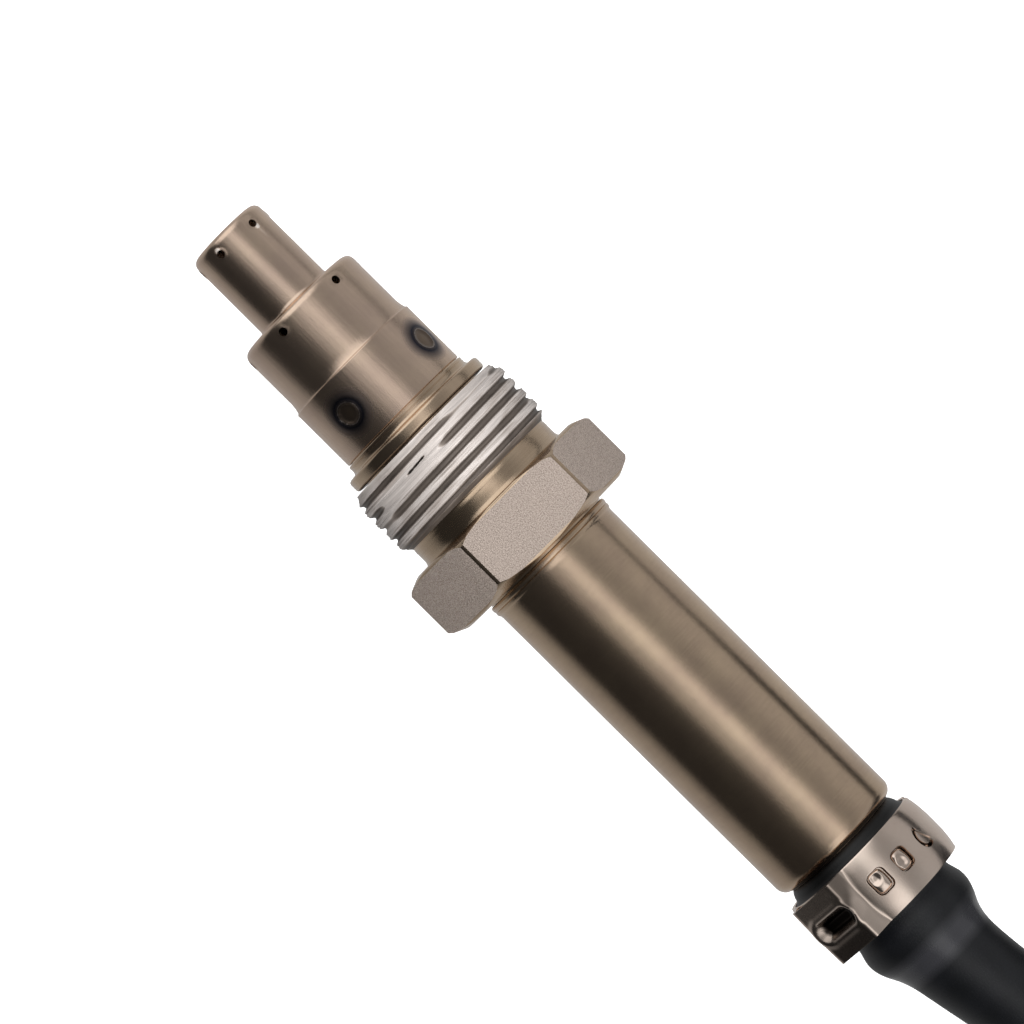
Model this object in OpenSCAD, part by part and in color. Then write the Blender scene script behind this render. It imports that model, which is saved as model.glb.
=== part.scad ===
// Nitrogen oxide sensor probe for an exhaust pipe, with a captive union nut and a coiled lead.
// The probe's axis is X, its nose points to +X, and +Z is up. The origin is on the axis, in the middle
// of the mounting thread. The probe lies on one flat of the nut's hexagon. All sizes are in millimetres.

/* [Protective cover] */
// Diameter of the small nose
nose_d = 8.8; // [7.6:0.1:9.6]
// Length of the small nose
nose_l = 10.1; // [8:0.1:14]
// Rounding of the nose's front edge
nose_corner = 0.85; // [0.5:0.05:1.2]
// Fillet where the nose grows out of the body
nose_root = 0.5; // [0.3:0.05:0.9]
// Diameter of the cover's body
body_d = 14.7; // [13.8:0.1:15.2]
// Length of the cover's body
body_l = 6.95; // [6:0.05:9]
// Rounding of the body's front edge
body_corner = 0.9; // [0.5:0.05:1.2]
// Length of the flare between body and skirt
flare_l = 1.3; // [0.6:0.1:2]
// Diameter of the cover's skirt
skirt_d = 15.4; // [15.3:0.1:15.6]
// Length of the cover's skirt
skirt_l = 6.9; // [6:0.1:9]
// Sheet thickness of the outer cover
cover_wall = 0.4; // [0.3:0.05:0.5]
// Number of gas holes in each row
gas_holes = 6; // [4:1:8]
// Diameter of the gas holes in the nose
nose_hole_d = 0.8; // [0.5:0.05:1.2]
// Distance of the nose's holes from the tip
nose_hole_set = 1.6; // [1.4:0.1:3]
// Diameter of the gas holes in the body
body_hole_d = 0.92; // [0.5:0.02:1.2]
// Distance of the body's holes from the body's front face
body_hole_set = 1.4; // [1.3:0.1:2.5]
// Angle of the first gas hole, from +Z towards +Y
hole_turn = 26.8; // [0:0.1:60]
// Number of spot welds that hold the skirt
welds = 4; // [3:1:6]
// Diameter of a spot weld's nugget
weld_d = 2.5; // [1.8:0.1:3]
// Depth of the dent of a spot weld
weld_dent = 0.12; // [0.05:0.01:0.2]
// Distance of the spot welds from the skirt's open edge
weld_set = 3.55; // [2:0.05:4.5]
// Angle of the first spot weld, from +Z towards +Y
weld_turn = 35.8; // [0:0.1:90]

/* [Inner covers] */
// Sheet thickness of the two inner covers
inner_wall = 0.3; // [0.2:0.05:0.4]
// Outer diameter of the wide end of the first inner cover
first_d = 11.9; // [11.6:0.1:12.4]
// Length of the wide end of the first inner cover
first_wide_l = 3.2; // [2.5:0.1:4]
// Outer diameter of the narrow end of the first inner cover
first_narrow_d = 8.2; // [7:0.1:8.8]
// Length of the narrow end of the first inner cover
first_narrow_l = 2.6; // [1.5:0.1:3]
// Outer diameter of the wide end of the second inner cover
second_d = 10.4; // [10:0.1:11.5]
// Length of the wide end of the second inner cover
second_wide_l = 4.4; // [3:0.1:5]
// Outer diameter of the narrow end of the second inner cover
second_narrow_d = 6.4; // [5.6:0.1:6.9]
// Length of the narrow end of the second inner cover
second_narrow_l = 6.6; // [4:0.1:7]
// Diameter of the gas holes in the inner covers
inner_hole_d = 1; // [0.6:0.1:1.4]

/* [Fitting] */
// Diameter of the bare collar between cover and flange
collar_d = 15.6; // [15.6:0.1:16.4]
// Length of the bare collar
collar_l = 1.15; // [0.8:0.05:2]
// Fillet between collar and flange
collar_fillet = 0.4; // [0.2:0.05:0.6]
// Diameter of the seat flange
flange_d = 17.8; // [17.2:0.1:18.2]
// Thickness of the seat flange
flange_t = 1.4; // [1:0.1:2.5]
// Rounding of the flange's outer edges
flange_corner = 0.35; // [0.1:0.05:0.45]
// Diameter of the shank that the nut turns on
shank_d = 15.2; // [14.8:0.1:15.2]
// Diameter of the bore that holds the ceramic stack
stack_d = 9.2; // [8.6:0.1:9.6]
// Diameter of the narrow bore at the front
throat_d = 6.4; // [5.4:0.1:7]
// Length of the narrow bore at the front
throat_l = 6.3; // [5:0.1:7.5]
// Length of the cover's seat on the fitting
seat_l = 5.95; // [5:0.05:6.5]
// Length of the front spigot that carries the first inner cover
spigot_l = 1.8; // [1.2:0.1:2.5]
// Length of the sleeve's seat behind the shank
sleeve_seat_l = 3.7; // [2.5:0.1:5]
// Diameter of the rear spigot that carries the inner cylinder
rear_spigot_d = 10.8; // [10.4:0.1:11.4]
// Length of the rear spigot
rear_spigot_l = 2; // [1.5:0.1:3]

/* [Union nut] */
// Thread diameter
thread_d = 20; // [19:0.5:22]
// Length of the threaded part with its chamfer and run-out
thread_l = 7.8; // [7:0.1:12]
// Length of the chamfer at the thread's start
thread_chamfer = 0.6; // [0.3:0.1:0.9]
// Length of the thread's run-out
thread_runout = 0.9; // [0.5:0.1:1.4]
// Diameter of the neck between thread and hexagon
nut_neck_d = 18.2; // [17.8:0.1:18.8]
// Length of the neck
nut_neck_l = 2.05; // [1:0.05:4]
// Width across the hexagon's flats
hex_af = 22; // [21:0.5:24]
// Length of the hexagon
hex_l = 7.2; // [5:0.1:10]
// Depth of the hexagon's corner chamfer along the axis, at the corners
hex_chamfer = 0.75; // [0.4:0.05:1]
// Radial running clearance of the nut on the shank
nut_clearance = 0.06; // [0.02:0.01:0.1]
// Gap between the flange and the nut
nut_gap = 0.2; // [0.1:0.05:0.4]

/* [Outer sleeve] */
// Diameter of the long sleeve
sleeve_d = 15.25; // [15.25:0.05:15.6]
// Sheet thickness of the sleeve
sleeve_wall = 0.5; // [0.4:0.05:0.6]
// Length of the sleeve from its bead to its shoulder
sleeve_l = 41.1; // [38:0.1:50]
// Diameter of the bead that keeps the nut on the shank
bead_d = 15.7; // [15.7:0.05:16]
// Length of the bead
bead_l = 1.2; // [0.8:0.1:2]
// Radius of the rolled shoulder at the rear
shoulder_r = 1.3; // [0.9:0.1:1.3]
// Diameter of the neck that the boot is pushed over
sleeve_neck_d = 11.8; // [11:0.1:12.2]
// Length of that neck
sleeve_neck_l = 8; // [6:0.1:8.4]

/* [Ceramic stack] */
// Length of the front supporter
front_supporter_l = 3.5; // [3:0.1:5]
// Length of the front talc ring
front_talc_l = 6.5; // [5:0.1:8]
// Length of the middle supporter
middle_supporter_l = 5.5; // [4:0.1:6]
// Length of the rear talc ring
rear_talc_l = 6; // [5:0.1:7]
// Length of the rear supporter
rear_supporter_l = 8; // [7:0.1:10]
// Thickness of the metal ring behind the stack
metal_ring_t = 1; // [0.6:0.1:1.4]
// Wall of the inner cylinder over the rear spigot
inner_cylinder_wall = 0.66; // [0.5:0.02:0.8]
// Opening of the lip that closes the inner cylinder
lip_d = 7.4; // [6.6:0.1:8]

/* [Sensor element] */
// Width of the ceramic element
element_w = 4.2; // [3.6:0.1:4.4]
// Thickness of the ceramic element
element_t = 1.45; // [1.2:0.05:1.6]
// Distance of the element's tip behind the body's front face
element_set = 1.8; // [1.4:0.1:2.5]

/* [Contact holder] */
// Gap between the stopper and the holder halves
holder_gap = 1.65; // [1.5:0.05:2]
// Distance of the element's rear end inside the holder
element_inset = 0.5; // [0.3:0.1:1.5]
// Gap between the sleeve and the ring round the holder
holder_play = 0.4; // [0.2:0.05:0.6]
// Length of the holder halves
holder_l = 14; // [12:0.5:16]
// Distance of each half's inner face from the axis plane
holder_split = 1.75; // [1.6:0.05:1.9]
// Number of contacts on each side
contacts = 4; // [2:1:4]
// Spacing of the contacts
contact_pitch = 1; // [0.9:0.05:1.05]
// Width of a contact
contact_w = 0.6; // [0.4:0.05:0.7]
// Sheet thickness of a contact
contact_t = 0.2; // [0.15:0.01:0.25]
// Sheet thickness of the ring that squeezes the halves
holder_ring_t = 0.4; // [0.3:0.05:0.5]
// Length of that ring
holder_ring_l = 6; // [4:0.5:8]

/* [Stopper and wires] */
// Diameter of a lead wire
wire_d = 1.3; // [1:0.05:1.4]
// Radius of the circle of wires in the stopper
wire_circle_r = 3.4; // [3.2:0.05:3.7]
// Radius of the bundle of wires at the cable's end
bundle_r = 2.4; // [2.2:0.1:2.5]
// Length of the stopper's head inside the sleeve
stopper_head_l = 5; // [3:0.1:5.2]
// Length of the stopper's stem inside the sleeve's neck
stopper_stem_l = 7.5; // [6:0.1:8]

/* [Ear clamp] */
// Width of the clamp's band
band_w = 7; // [6:0.1:7.4]
// Thickness of the clamp's band
band_t = 0.7; // [0.5:0.05:0.9]
// Inner diameter of the clamp's band
band_bore = 15.3; // [15.1:0.1:15.6]
// Distance of the band from the sleeve's shoulder
band_set = 1.35; // [1.2:0.05:2]
// Height of the ear above the band
ear_h = 0.7; // [0.5:0.1:1.4]
// Half width of the ear's flat top
ear_half_w = 2.8; // [2.4:0.1:3.4]
// Angle of the ear's middle, from +Z towards +Y
ear_turn = 49; // [30:1:60]
// Length of the pressed dimple across the ear
dimple_l = 4.6; // [3:0.1:5]
// Width of the pressed dimple
dimple_w = 2.2; // [1.6:0.1:3]
// Length of a locking window along the axis
window_l = 2.5; // [2:0.1:3]
// Width of a locking window round the band
window_w = 2; // [1.6:0.1:2.2]

/* [Boot] */
// Wall of the rubber boot over the sleeve's neck
boot_wall = 1.65; // [1.4:0.05:1.65]
// Diameter of the boot in front of the band
boot_lip_d = 13.1; // [12.8:0.1:14]
// Diameter of the boot straight behind the band
boot_waist_d = 12.4; // [12.2:0.1:13]
// Diameter of the boot's bulge
boot_bulge_d = 13.3; // [12.9:0.1:14]
// Radius of the bulge's rounding along the axis
boot_bulge_r = 2.6; // [2.4:0.1:2.8]
// Radius of the hollow between the bulge and the tail
boot_bend_r = 3; // [2.6:0.1:3.4]
// Diameter where the boot's tail begins
boot_tail_d = 10.1; // [9.8:0.1:10.6]
// Diameter of the boot's rear end
boot_end_d = 9; // [8.6:0.1:9.4]
// Gap between the boot's bore and the cable
boot_gap = 0.2; // [0.1:0.05:0.25]

/* [Lead] */
// Diameter of the cable
cable_d = 7; // [6.8:0.1:7.2]
// Radius of the coil's outer turn
coil_r = 38.5; // [38.5:0.5:40]
// Wall thickness of the strap that ties the coil
strap_t = 0.5; // [0.3:0.1:0.5]
// Width of that strap
strap_w = 9; // [6:0.5:14]
// Angle round the coil at which it is tied
strap_turn = 135; // [110:1:160]

/* [Connector] */
// Length of the connector's housing
plug_l = 32; // [30:0.5:40]
// Width of the housing
plug_w = 18; // [17.5:0.5:20]
// Height of the housing
plug_h = 16; // [15.5:0.5:17]
// Rounding of the housing's long edges
plug_corner = 2.5; // [1.5:0.1:3]
// Depth of the mating cavity
cavity_deep = 14; // [11:0.5:16]
// Wall round the mating cavity
cavity_wall = 1.8; // [1.5:0.1:2]
// Number of pins in each of the two rows
pins = 4; // [3:1:4]
// Spacing of the pins in both directions
pin_pitch = 3.5; // [3.3:0.1:3.6]
// Width of a square pin
pin_w = 1; // [0.8:0.1:1.4]
// Length of the cap that closes the connector's rear
cap_l = 8; // [6:0.5:10]

/* [Hidden] */
$fn = 48;

// Clearance of a seated or pushed-in piece, on each side
seat_gap = 0.04;
// A cut runs past a face by this much
past = 1;

// Places along the axis, worked out from the thread's middle
nut_front = thread_l / 2;
neck_front = -thread_l / 2;
hex_front = neck_front - nut_neck_l;
nut_rear = hex_front - hex_l;
flange_rear = nut_front + nut_gap;
flange_front = flange_rear + flange_t;
skirt_rear = flange_front + collar_l;
skirt_front = skirt_rear + skirt_l;
body_rear = skirt_front + flare_l;
body_front = body_rear + body_l;
tip = body_front + nose_l;
seat_front = skirt_rear + seat_l;
fitting_front = seat_front + spigot_l;
stack_front = fitting_front - throat_l;
shank_rear = nut_rear - nut_gap;
seat_rear = shank_rear - sleeve_seat_l;
fitting_rear = seat_rear - rear_spigot_l;
shoulder = shank_rear - sleeve_l;
sleeve_rear = shoulder - sleeve_neck_l;
front_talc_x = stack_front - front_supporter_l;
middle_x = front_talc_x - front_talc_l;
rear_talc_x = middle_x - middle_supporter_l;
rear_supporter_x = rear_talc_x - rear_talc_l;
metal_ring_x = rear_supporter_x - rear_supporter_l;
stack_rear = metal_ring_x - metal_ring_t;
cylinder_rear = stack_rear - 0.8;
stopper_step = shoulder + shoulder_r;
stopper_front = stopper_step + stopper_head_l;
stopper_rear = shoulder - stopper_stem_l;
holder_rear = stopper_front + holder_gap;
holder_front = holder_rear + holder_l;
element_front = body_front - element_set;
element_rear = holder_rear + element_inset;
element_l = element_front - element_rear;
band_front = shoulder - band_set;
band_rear = band_front - band_w;

// Radii
shank_r = shank_d / 2;
nut_bore_r = shank_r + nut_clearance;
sleeve_bore_r = sleeve_d / 2 - sleeve_wall;
neck_bore_r = sleeve_neck_d / 2 - sleeve_wall;
holder_d = 2 * (sleeve_bore_r - holder_play - holder_ring_t - seat_gap);
boot_bore_r = sleeve_neck_d / 2 + seat_gap;
band_r = band_bore / 2;
band_out = band_r + band_t;
ear_top = band_out + ear_h;

// Floor that the probe and the coil lie on
floor_z = -hex_af / 2;
cable_r = cable_d / 2;

// Places of the boot's tail, from the bulge to its rear end
BOOT_ROUTE = [[-70, -0.1, -0.1], [-73, -0.5, -0.6], [-76, -1, -1.2], [-80, -1.6, -2.1], [-84, -2.2, -3.1]];
// Route of the cable from inside the boot to the coil
LEAD_ROUTE = [[-73, -0.5, -0.6], [-76, -1, -1.2], [-80, -1.6, -2.1], [-84, -2.2, -3.1], [-88, -2.6, -4.1],
              [-92, -2.8, -5], [-96, -2.9, -5.8], [-100, -3, -6.4], [-104, -3, -6.8], [-108, -3, -7]];
// Route of the cable from the coil to the connector
TAIL_ROUTE = [[-108, -76.5, -0.9], [-100, -76.5, -0.4], [-92, -76.5, 0.1], [-87, -76.5, -0.2],
              [-83, -76.5, -1], [-79.5, -76.5, -2], [-76, -76.5, -2.7], [-73, -76.5, -3], [-71.5, -76.5, -3]];
coil_centre = [-108, -41.5];
plug_place = [-71.5, -76.5];

function arc(centre, r, from, to, steps = 6) =
    [for (i = [0 : steps]) let(a = from + (to - from) * i / steps) centre + r * [cos(a), sin(a)]];
function flip(list) = [for (i = [len(list) - 1 : -1 : 0]) list[i]];

// Turns a profile of [radius, place along the axis] points round the X axis
module turned(points, sides = 64) rotate([0, 90, 0]) rotate_extrude($fn = sides) polygon(points);
// A straight round bar along X, from one place to another
module bar(d, from, to) translate([from, 0, 0]) rotate([0, 90, 0]) cylinder(d = d, h = to - from);
// Puts its child at a place on the axis, facing outwards at an angle from +Z towards +Y
module facing(x, angle) translate([x, 0, 0]) rotate([-angle, 0, 0]) children();
// A ring of blind or through holes round the axis
module hole_ring(x, d, from, to, count, first)
    for (i = [0 : count - 1]) facing(x, first + 360 * i / count)
        translate([0, 0, from]) cylinder(d = d, h = to - from, $fn = 24);
// A washer-shaped stack piece with a slot for the element
module stack_piece(from, to) difference() {
    bar(stack_d - 2 * seat_gap, from + seat_gap / 2, to - seat_gap / 2);
    element_slot(from, to);
}
module element_slot(from, to) translate([from - past, -element_w / 2 - seat_gap, -element_t / 2 - seat_gap])
    cube([to - from + 2 * past, element_w + 2 * seat_gap, element_t + 2 * seat_gap]);

// The outer cover's line at a depth under its outside, from the open end to the tip
function cover_line(w) = concat(
    [[skirt_d / 2 - w, skirt_rear], [skirt_d / 2 - w, skirt_front], [body_d / 2 - w, body_rear]],
    arc([body_d / 2 - body_corner, body_front - body_corner], body_corner - w, 0, 90),
    arc([nose_d / 2 + nose_root, body_front + nose_root], nose_root + w, 270, 180),
    arc([nose_d / 2 - nose_corner, tip - nose_corner], nose_corner - w, 0, 90),
    [[0, tip - w]]);
module outer_cover() color("#9c8a78") difference() {
    turned(concat(cover_line(0), flip(cover_line(cover_wall))));
    hole_ring(tip - nose_hole_set, nose_hole_d, nose_d / 2 - 2 * cover_wall, nose_d / 2 + past,
              gas_holes, hole_turn);
    hole_ring(body_front - body_hole_set, body_hole_d, body_d / 2 - 2 * cover_wall, body_d / 2 + past,
              gas_holes, hole_turn);
    hole_ring(skirt_rear + weld_set, weld_d, skirt_d / 2 - weld_dent, skirt_d / 2 + past, welds, weld_turn);
}

first_narrow_x = seat_front + seat_gap + first_wide_l + (first_d - first_narrow_d) / 2;
function first_line(w) = [
    [first_d / 2 - w, seat_front + seat_gap],
    [first_d / 2 - w, seat_front + seat_gap + first_wide_l - w / 2],
    [first_narrow_d / 2 - w, first_narrow_x - w / 2],
    [first_narrow_d / 2 - w, first_narrow_x + first_narrow_l]];
module first_inner_cover() color("#a89a8a") difference() {
    turned(concat(first_line(0), flip(first_line(inner_wall))));
    hole_ring(seat_front + first_wide_l / 2 + spigot_l / 2, inner_hole_d, first_d / 2 - past,
              first_d / 2 + past, gas_holes, 0);
}

// The second inner cover leans on the inside of the outer cover's front face
second_front = body_front - cover_wall - seat_gap;
second_bend = 0.6;
function second_line(w) = concat(
    [[second_d / 2 - w, second_front - second_wide_l]],
    arc([second_d / 2 - second_bend, second_front - second_bend], second_bend - w, 0, 90),
    arc([second_narrow_d / 2 + 0.3, second_front + 0.3], 0.3 + w, 270, 180),
    arc([second_narrow_d / 2 - 1.2, second_front + second_narrow_l - 1.2], 1.2 - w, 0, 90),
    [[inner_hole_d / 2, second_front + second_narrow_l - w]]);
module second_inner_cover() color("#a89a8a")
    turned(concat(second_line(0), flip(second_line(inner_wall))));

module main_fitting() color("#8d7b6c") {
    seat_r = skirt_d / 2 - cover_wall - seat_gap;
    spigot_r = first_d / 2 - inner_wall - seat_gap;
    sleeve_seat_r = sleeve_bore_r - seat_gap;
    bore = stack_d / 2;
    shoulder_slope = (stack_d - throat_d) / 4;
    turned(concat(
        [[throat_d / 2, fitting_front], [spigot_r, fitting_front], [spigot_r, seat_front], [seat_r, seat_front],
         [seat_r, skirt_rear], [collar_d / 2, skirt_rear]],
        arc([collar_d / 2 + collar_fillet, flange_front + collar_fillet], collar_fillet, 180, 270),
        arc([flange_d / 2 - flange_corner, flange_front - flange_corner], flange_corner, 90, 0),
        arc([flange_d / 2 - flange_corner, flange_rear + flange_corner], flange_corner, 0, -90),
        [[shank_r, flange_rear], [shank_r, shank_rear], [sleeve_seat_r, shank_rear], [sleeve_seat_r, seat_rear],
         [rear_spigot_d / 2, seat_rear], [rear_spigot_d / 2, fitting_rear], [bore, fitting_rear],
         [bore, stack_front], [throat_d / 2, stack_front + shoulder_slope]]));
}

module sensor_element() color("#e9e6dd")
    translate([element_rear, -element_w / 2, -element_t / 2]) difference() {
        cube([element_l, element_w, element_t]);
        // The working end is ground to a blunt edge
        for (side = [0, 1]) translate([element_l, -past, side * element_t]) rotate([0, 45, 0])
            cube([0.6, element_w + 2 * past, 0.6]);
    }

module front_supporter() color("#dedad0") stack_piece(front_talc_x, stack_front);
module front_talc() color("#c9c7bd") stack_piece(middle_x, front_talc_x);
module middle_supporter() color("#dedad0") stack_piece(rear_talc_x, middle_x);
module rear_talc() color("#c9c7bd") stack_piece(rear_supporter_x, rear_talc_x);
module rear_supporter() color("#dedad0") stack_piece(metal_ring_x, rear_supporter_x);
module metal_ring() color("#8f8c88") turned([
    [lip_d / 2, stack_rear + seat_gap], [stack_d / 2 - seat_gap, stack_rear + seat_gap],
    [stack_d / 2 - seat_gap, metal_ring_x - seat_gap], [lip_d / 2, metal_ring_x - seat_gap]]);

module inner_cylinder() color("#a09a92") {
    step_x = fitting_rear - seat_gap;
    outer_r = rear_spigot_d / 2 + seat_gap + inner_cylinder_wall;
    turned([[outer_r, seat_rear - seat_gap], [outer_r, cylinder_rear + 0.6], [outer_r - 0.6, cylinder_rear],
            [lip_d / 2, cylinder_rear], [lip_d / 2, stack_rear], [stack_d / 2, stack_rear],
            [stack_d / 2, step_x], [rear_spigot_d / 2 + seat_gap, step_x],
            [rear_spigot_d / 2 + seat_gap, seat_rear - seat_gap]]);
}

module union_nut() color("#b9b2aa") {
    thread_r = thread_d / 2;
    neck_r = nut_neck_d / 2;
    corner_r = hex_af / 2 / cos(30);
    // The chamfers leave a round land on both end faces, as wide as the flats
    land_r = hex_af / 2 - 0.2;
    difference() {
        union() {
            turned([[0, hex_front - hex_l / 2], [neck_r, hex_front - hex_l / 2], [neck_r, neck_front],
                    [thread_r, neck_front + thread_runout], [thread_r, nut_front - thread_chamfer],
                    [thread_r - thread_chamfer, nut_front], [0, nut_front]]);
            intersection() {
                translate([nut_rear, 0, 0]) rotate([0, 90, 0]) rotate([0, 0, 30])
                    cylinder(r = corner_r, h = hex_l, $fn = 6);
                turned([[0, nut_rear], [land_r, nut_rear], [corner_r, nut_rear + hex_chamfer],
                        [corner_r, hex_front - hex_chamfer], [land_r, hex_front], [0, hex_front]]);
            }
        }
        bar(2 * nut_bore_r, nut_rear - past, nut_front + past);
    }
}

module outer_sleeve() color("#8d7b6c") {
    r = sleeve_d / 2;
    bead_r = bead_d / 2;
    neck_r = sleeve_neck_d / 2;
    step_r = neck_r + 0.7;
    bead_rear = shank_rear - bead_l;
    bend = r - step_r;
    turned(concat(
        [[sleeve_bore_r, shank_rear - seat_gap], [bead_r - 0.25, shank_rear - seat_gap],
         [bead_r, shank_rear - 0.3], [bead_r, bead_rear + 0.4], [r, bead_rear]],
        arc([r - shoulder_r, shoulder + shoulder_r], shoulder_r, 0, -60),
        [[step_r, shoulder], [neck_r, shoulder], [neck_r, sleeve_rear], [neck_bore_r, sleeve_rear],
         [neck_bore_r, shoulder + sleeve_wall]],
        [[step_r - sleeve_wall, shoulder + sleeve_wall]],
        arc([r - shoulder_r, shoulder + shoulder_r], shoulder_r - sleeve_wall, -60, 0)));
}

// One half of the contact holder, above the element when side is 1 and below it when side is -1
module holder_half(side) difference() {
    translate([holder_rear, 0, 0]) rotate([0, 90, 0]) cylinder(d = holder_d, h = holder_l);
    translate([holder_rear - past, -holder_d, side > 0 ? holder_split - holder_d : -holder_split])
        cube([holder_l + 2 * past, 2 * holder_d, holder_d]);
    for (i = [0 : contacts - 1]) translate([holder_rear - past, contact_y(i) - contact_w / 2 - 0.1,
                                            side > 0 ? holder_split - past : -holder_split - 0.35])
        cube([holder_l + 2 * past, contact_w + 0.2, past + 0.35]);
}
module upper_contact_holder() color("#d8d3c4") holder_half(1);
module lower_contact_holder() color("#d8d3c4") holder_half(-1);

function contact_y(i) = (i - (contacts - 1) / 2) * contact_pitch;
// Angle of a wire round the axis, counted from +Y: four lie above the element and four below it
function wire_angle(i, side) = side * (157.5 - 135 * (contacts > 1 ? i / (contacts - 1) : 0.5));
function wire_spot(i, side) = wire_circle_r * [cos(wire_angle(i, side)), sin(wire_angle(i, side))];
// A bowed leaf that presses on the element, and a tail that fans out to its wire
module contact_row(side) for (i = [0 : contacts - 1]) {
    high = holder_split + 0.3;
    low = element_t / 2 + 0.02;
    leaf_l = holder_l - 2;
    leaf_x = holder_rear + leaf_l / 2 + 0.5;
    bow = [for (k = [0 : 12]) let(u = k / 12) [leaf_x + (u - 0.5) * leaf_l, low + (high - contact_t - low)
                                              * pow(abs(2 * u - 1), 1.6)]];
    leaf = concat([[holder_rear - 0.5, high - contact_t]], bow);
    translate([0, contact_y(i) + contact_w / 2, 0]) mirror([0, 0, side > 0 ? 0 : 1]) rotate([90, 0, 0])
        linear_extrude(contact_w) polygon(concat(leaf, [for (p = flip(leaf)) p + [0, contact_t]]));
    hull() {
        translate([holder_rear - 0.35, contact_y(i), side * (high - contact_t / 2)])
            cube([0.3, contact_w, contact_t], center = true);
        translate([wire_front + 0.3, wire_spot(i, side)[0], wire_spot(i, side)[1]])
            cube([0.6, contact_w, 0.4], center = true);
    }
}
module upper_contacts() color("#c8b27c") contact_row(1);
module lower_contacts() color("#c8b27c") contact_row(-1);

holder_ring_x = (holder_front + holder_rear) / 2;
module holder_ring() color("#9a9690") difference() {
    bore = holder_d + 2 * seat_gap;
    from = holder_ring_x - holder_ring_l / 2;
    bar(bore + 2 * holder_ring_t, from, from + holder_ring_l);
    bar(bore, from - past, from + holder_ring_l + past);
    // The slit that lets the ring spring open
    translate([holder_ring_x - holder_ring_l, holder_d / 2 - past, -0.8])
        cube([2 * holder_ring_l, 2 * past, 1.6]);
}

wire_front = stopper_front + 0.6;
wire_bend = sleeve_rear - 0.5;
bundle_front = sleeve_rear - 6;
// The wires draw together in the boot and end square on the cable's front face
module lead_wires() color("#d9d4c6") for (side = [-1, 1]) for (i = [0 : contacts - 1]) {
    spot = wire_spot(i, side);
    close = bundle_r / wire_circle_r * spot;
    t = heading(LEAD_ROUTE, 0);
    u = unit(cross([0, 0, 1], t));
    target = LEAD_ROUTE[0] - close[0] * u + close[1] * cross(t, u) - seat_gap * t;
    route = [[wire_front, spot[0], spot[1]], [wire_bend, spot[0], spot[1]], [bundle_front, close[0], close[1]],
             target - t, target];
    swept(route, same(route, wire_d / 2), 8);
}

module stopper() color("#3a3c40") difference() {
    head_r = sleeve_bore_r - seat_gap;
    stem_r = neck_bore_r - seat_gap;
    turned([[0, stopper_rear], [stem_r, stopper_rear], [stem_r, stopper_step], [head_r, stopper_step],
            [head_r, stopper_front - 0.5], [head_r - 0.5, stopper_front], [0, stopper_front]]);
    for (side = [-1, 1]) for (i = [0 : contacts - 1])
        translate([stopper_rear - past, wire_spot(i, side)[0], wire_spot(i, side)[1]]) rotate([0, 90, 0])
            cylinder(d = wire_d + 2 * seat_gap, h = stopper_front - stopper_rear + 2 * past);
}

band_x = (band_front + band_rear) / 2;
// The band's outline seen along the axis: a ring whose outside is raised into a flat-topped ear
ear_flank = 2.4 * ear_h;
module band_outline() union() {
    circle(r = band_out, $fn = 96);
    intersection() {
        rotate([0, 0, ear_turn]) translate([-ear_half_w - ear_flank, 0]) polygon([
            [0, 0], [0, band_out * 0.8], [ear_flank, ear_top],
            [ear_flank + 2 * ear_half_w, ear_top], [2 * ear_flank + 2 * ear_half_w, band_out * 0.8],
            [2 * ear_flank + 2 * ear_half_w, 0]]);
        circle(r = ear_top + 3 * ear_h, $fn = 96);
    }
}
window_angles = [3, -19];
module ear_clamp() color("#b0a090") difference() {
    union() {
        difference() {
            // Y of the outline goes to +Z, and its X to -Y, so turns run from +Z towards +Y
            translate([band_rear, 0, 0]) rotate([90, 0, 90]) linear_extrude(band_w) mirror([1, 0])
                band_outline();
            for (angle = window_angles) facing(band_x, angle)
                translate([-window_l / 2, -window_w / 2, band_out - 0.4]) cube([window_l, window_w, 2 * past]);
        }
        // The hooks that lock in the windows
        for (angle = window_angles) facing(band_x, angle)
            translate([-window_l / 2 + 0.35, -window_w / 2 + 0.3, band_out - 0.5])
                cube([window_l - 0.7, window_w - 0.6, 0.65]);
        // The tongue beside them
        facing(band_x, -45) translate([-0.9, -0.7, band_out - 0.3]) cube([1.8, 1.4, 0.5]);
    }
    bar(band_bore, band_rear - past, band_front + past);
    // The dimple that is pressed across the ear
    facing(band_x, ear_turn) translate([0, 0, ear_top]) {
        for (side = [-1, 1]) translate([0, side * (dimple_l - dimple_w) / 2, 0]) sphere(d = dimple_w);
        translate([0, (dimple_l - dimple_w) / 2, 0]) rotate([90, 0, 0])
            cylinder(d = dimple_w, h = dimple_l - dimple_w);
    }
}

// Sweeps a round section of changing radius along a route; the route never runs straight up
function unit(v) = v / norm(v);
function heading(route, i) = unit(route[min(i + 1, len(route) - 1)] - route[max(i - 1, 0)]);
function ring_at(centre, t, r, sides) = let(u = unit(cross([0, 0, 1], t)), v = cross(t, u))
    [for (k = [0 : sides - 1]) centre + r * (cos(360 * k / sides) * u + sin(360 * k / sides) * v)];
module swept(route, radii, sides) {
    n = len(route);
    points = [for (i = [0 : n - 1]) each ring_at(route[i], heading(route, i), radii[i], sides)];
    walls = [for (i = [0 : n - 2]) for (k = [0 : sides - 1]) let(m = (k + 1) % sides)
        [i * sides + k, (i + 1) * sides + k, (i + 1) * sides + m, i * sides + m]];
    polyhedron(points, concat([[for (k = [0 : sides - 1]) k]], walls,
                              [[for (k = [sides - 1 : -1 : 0]) (n - 1) * sides + k]]));
}

boot_front = shoulder - seat_gap;
boot_collar_r = band_r - seat_gap;
boot_waist_x = band_rear - 0.3;
boot_bulge_x = boot_waist_x - 2;
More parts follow.
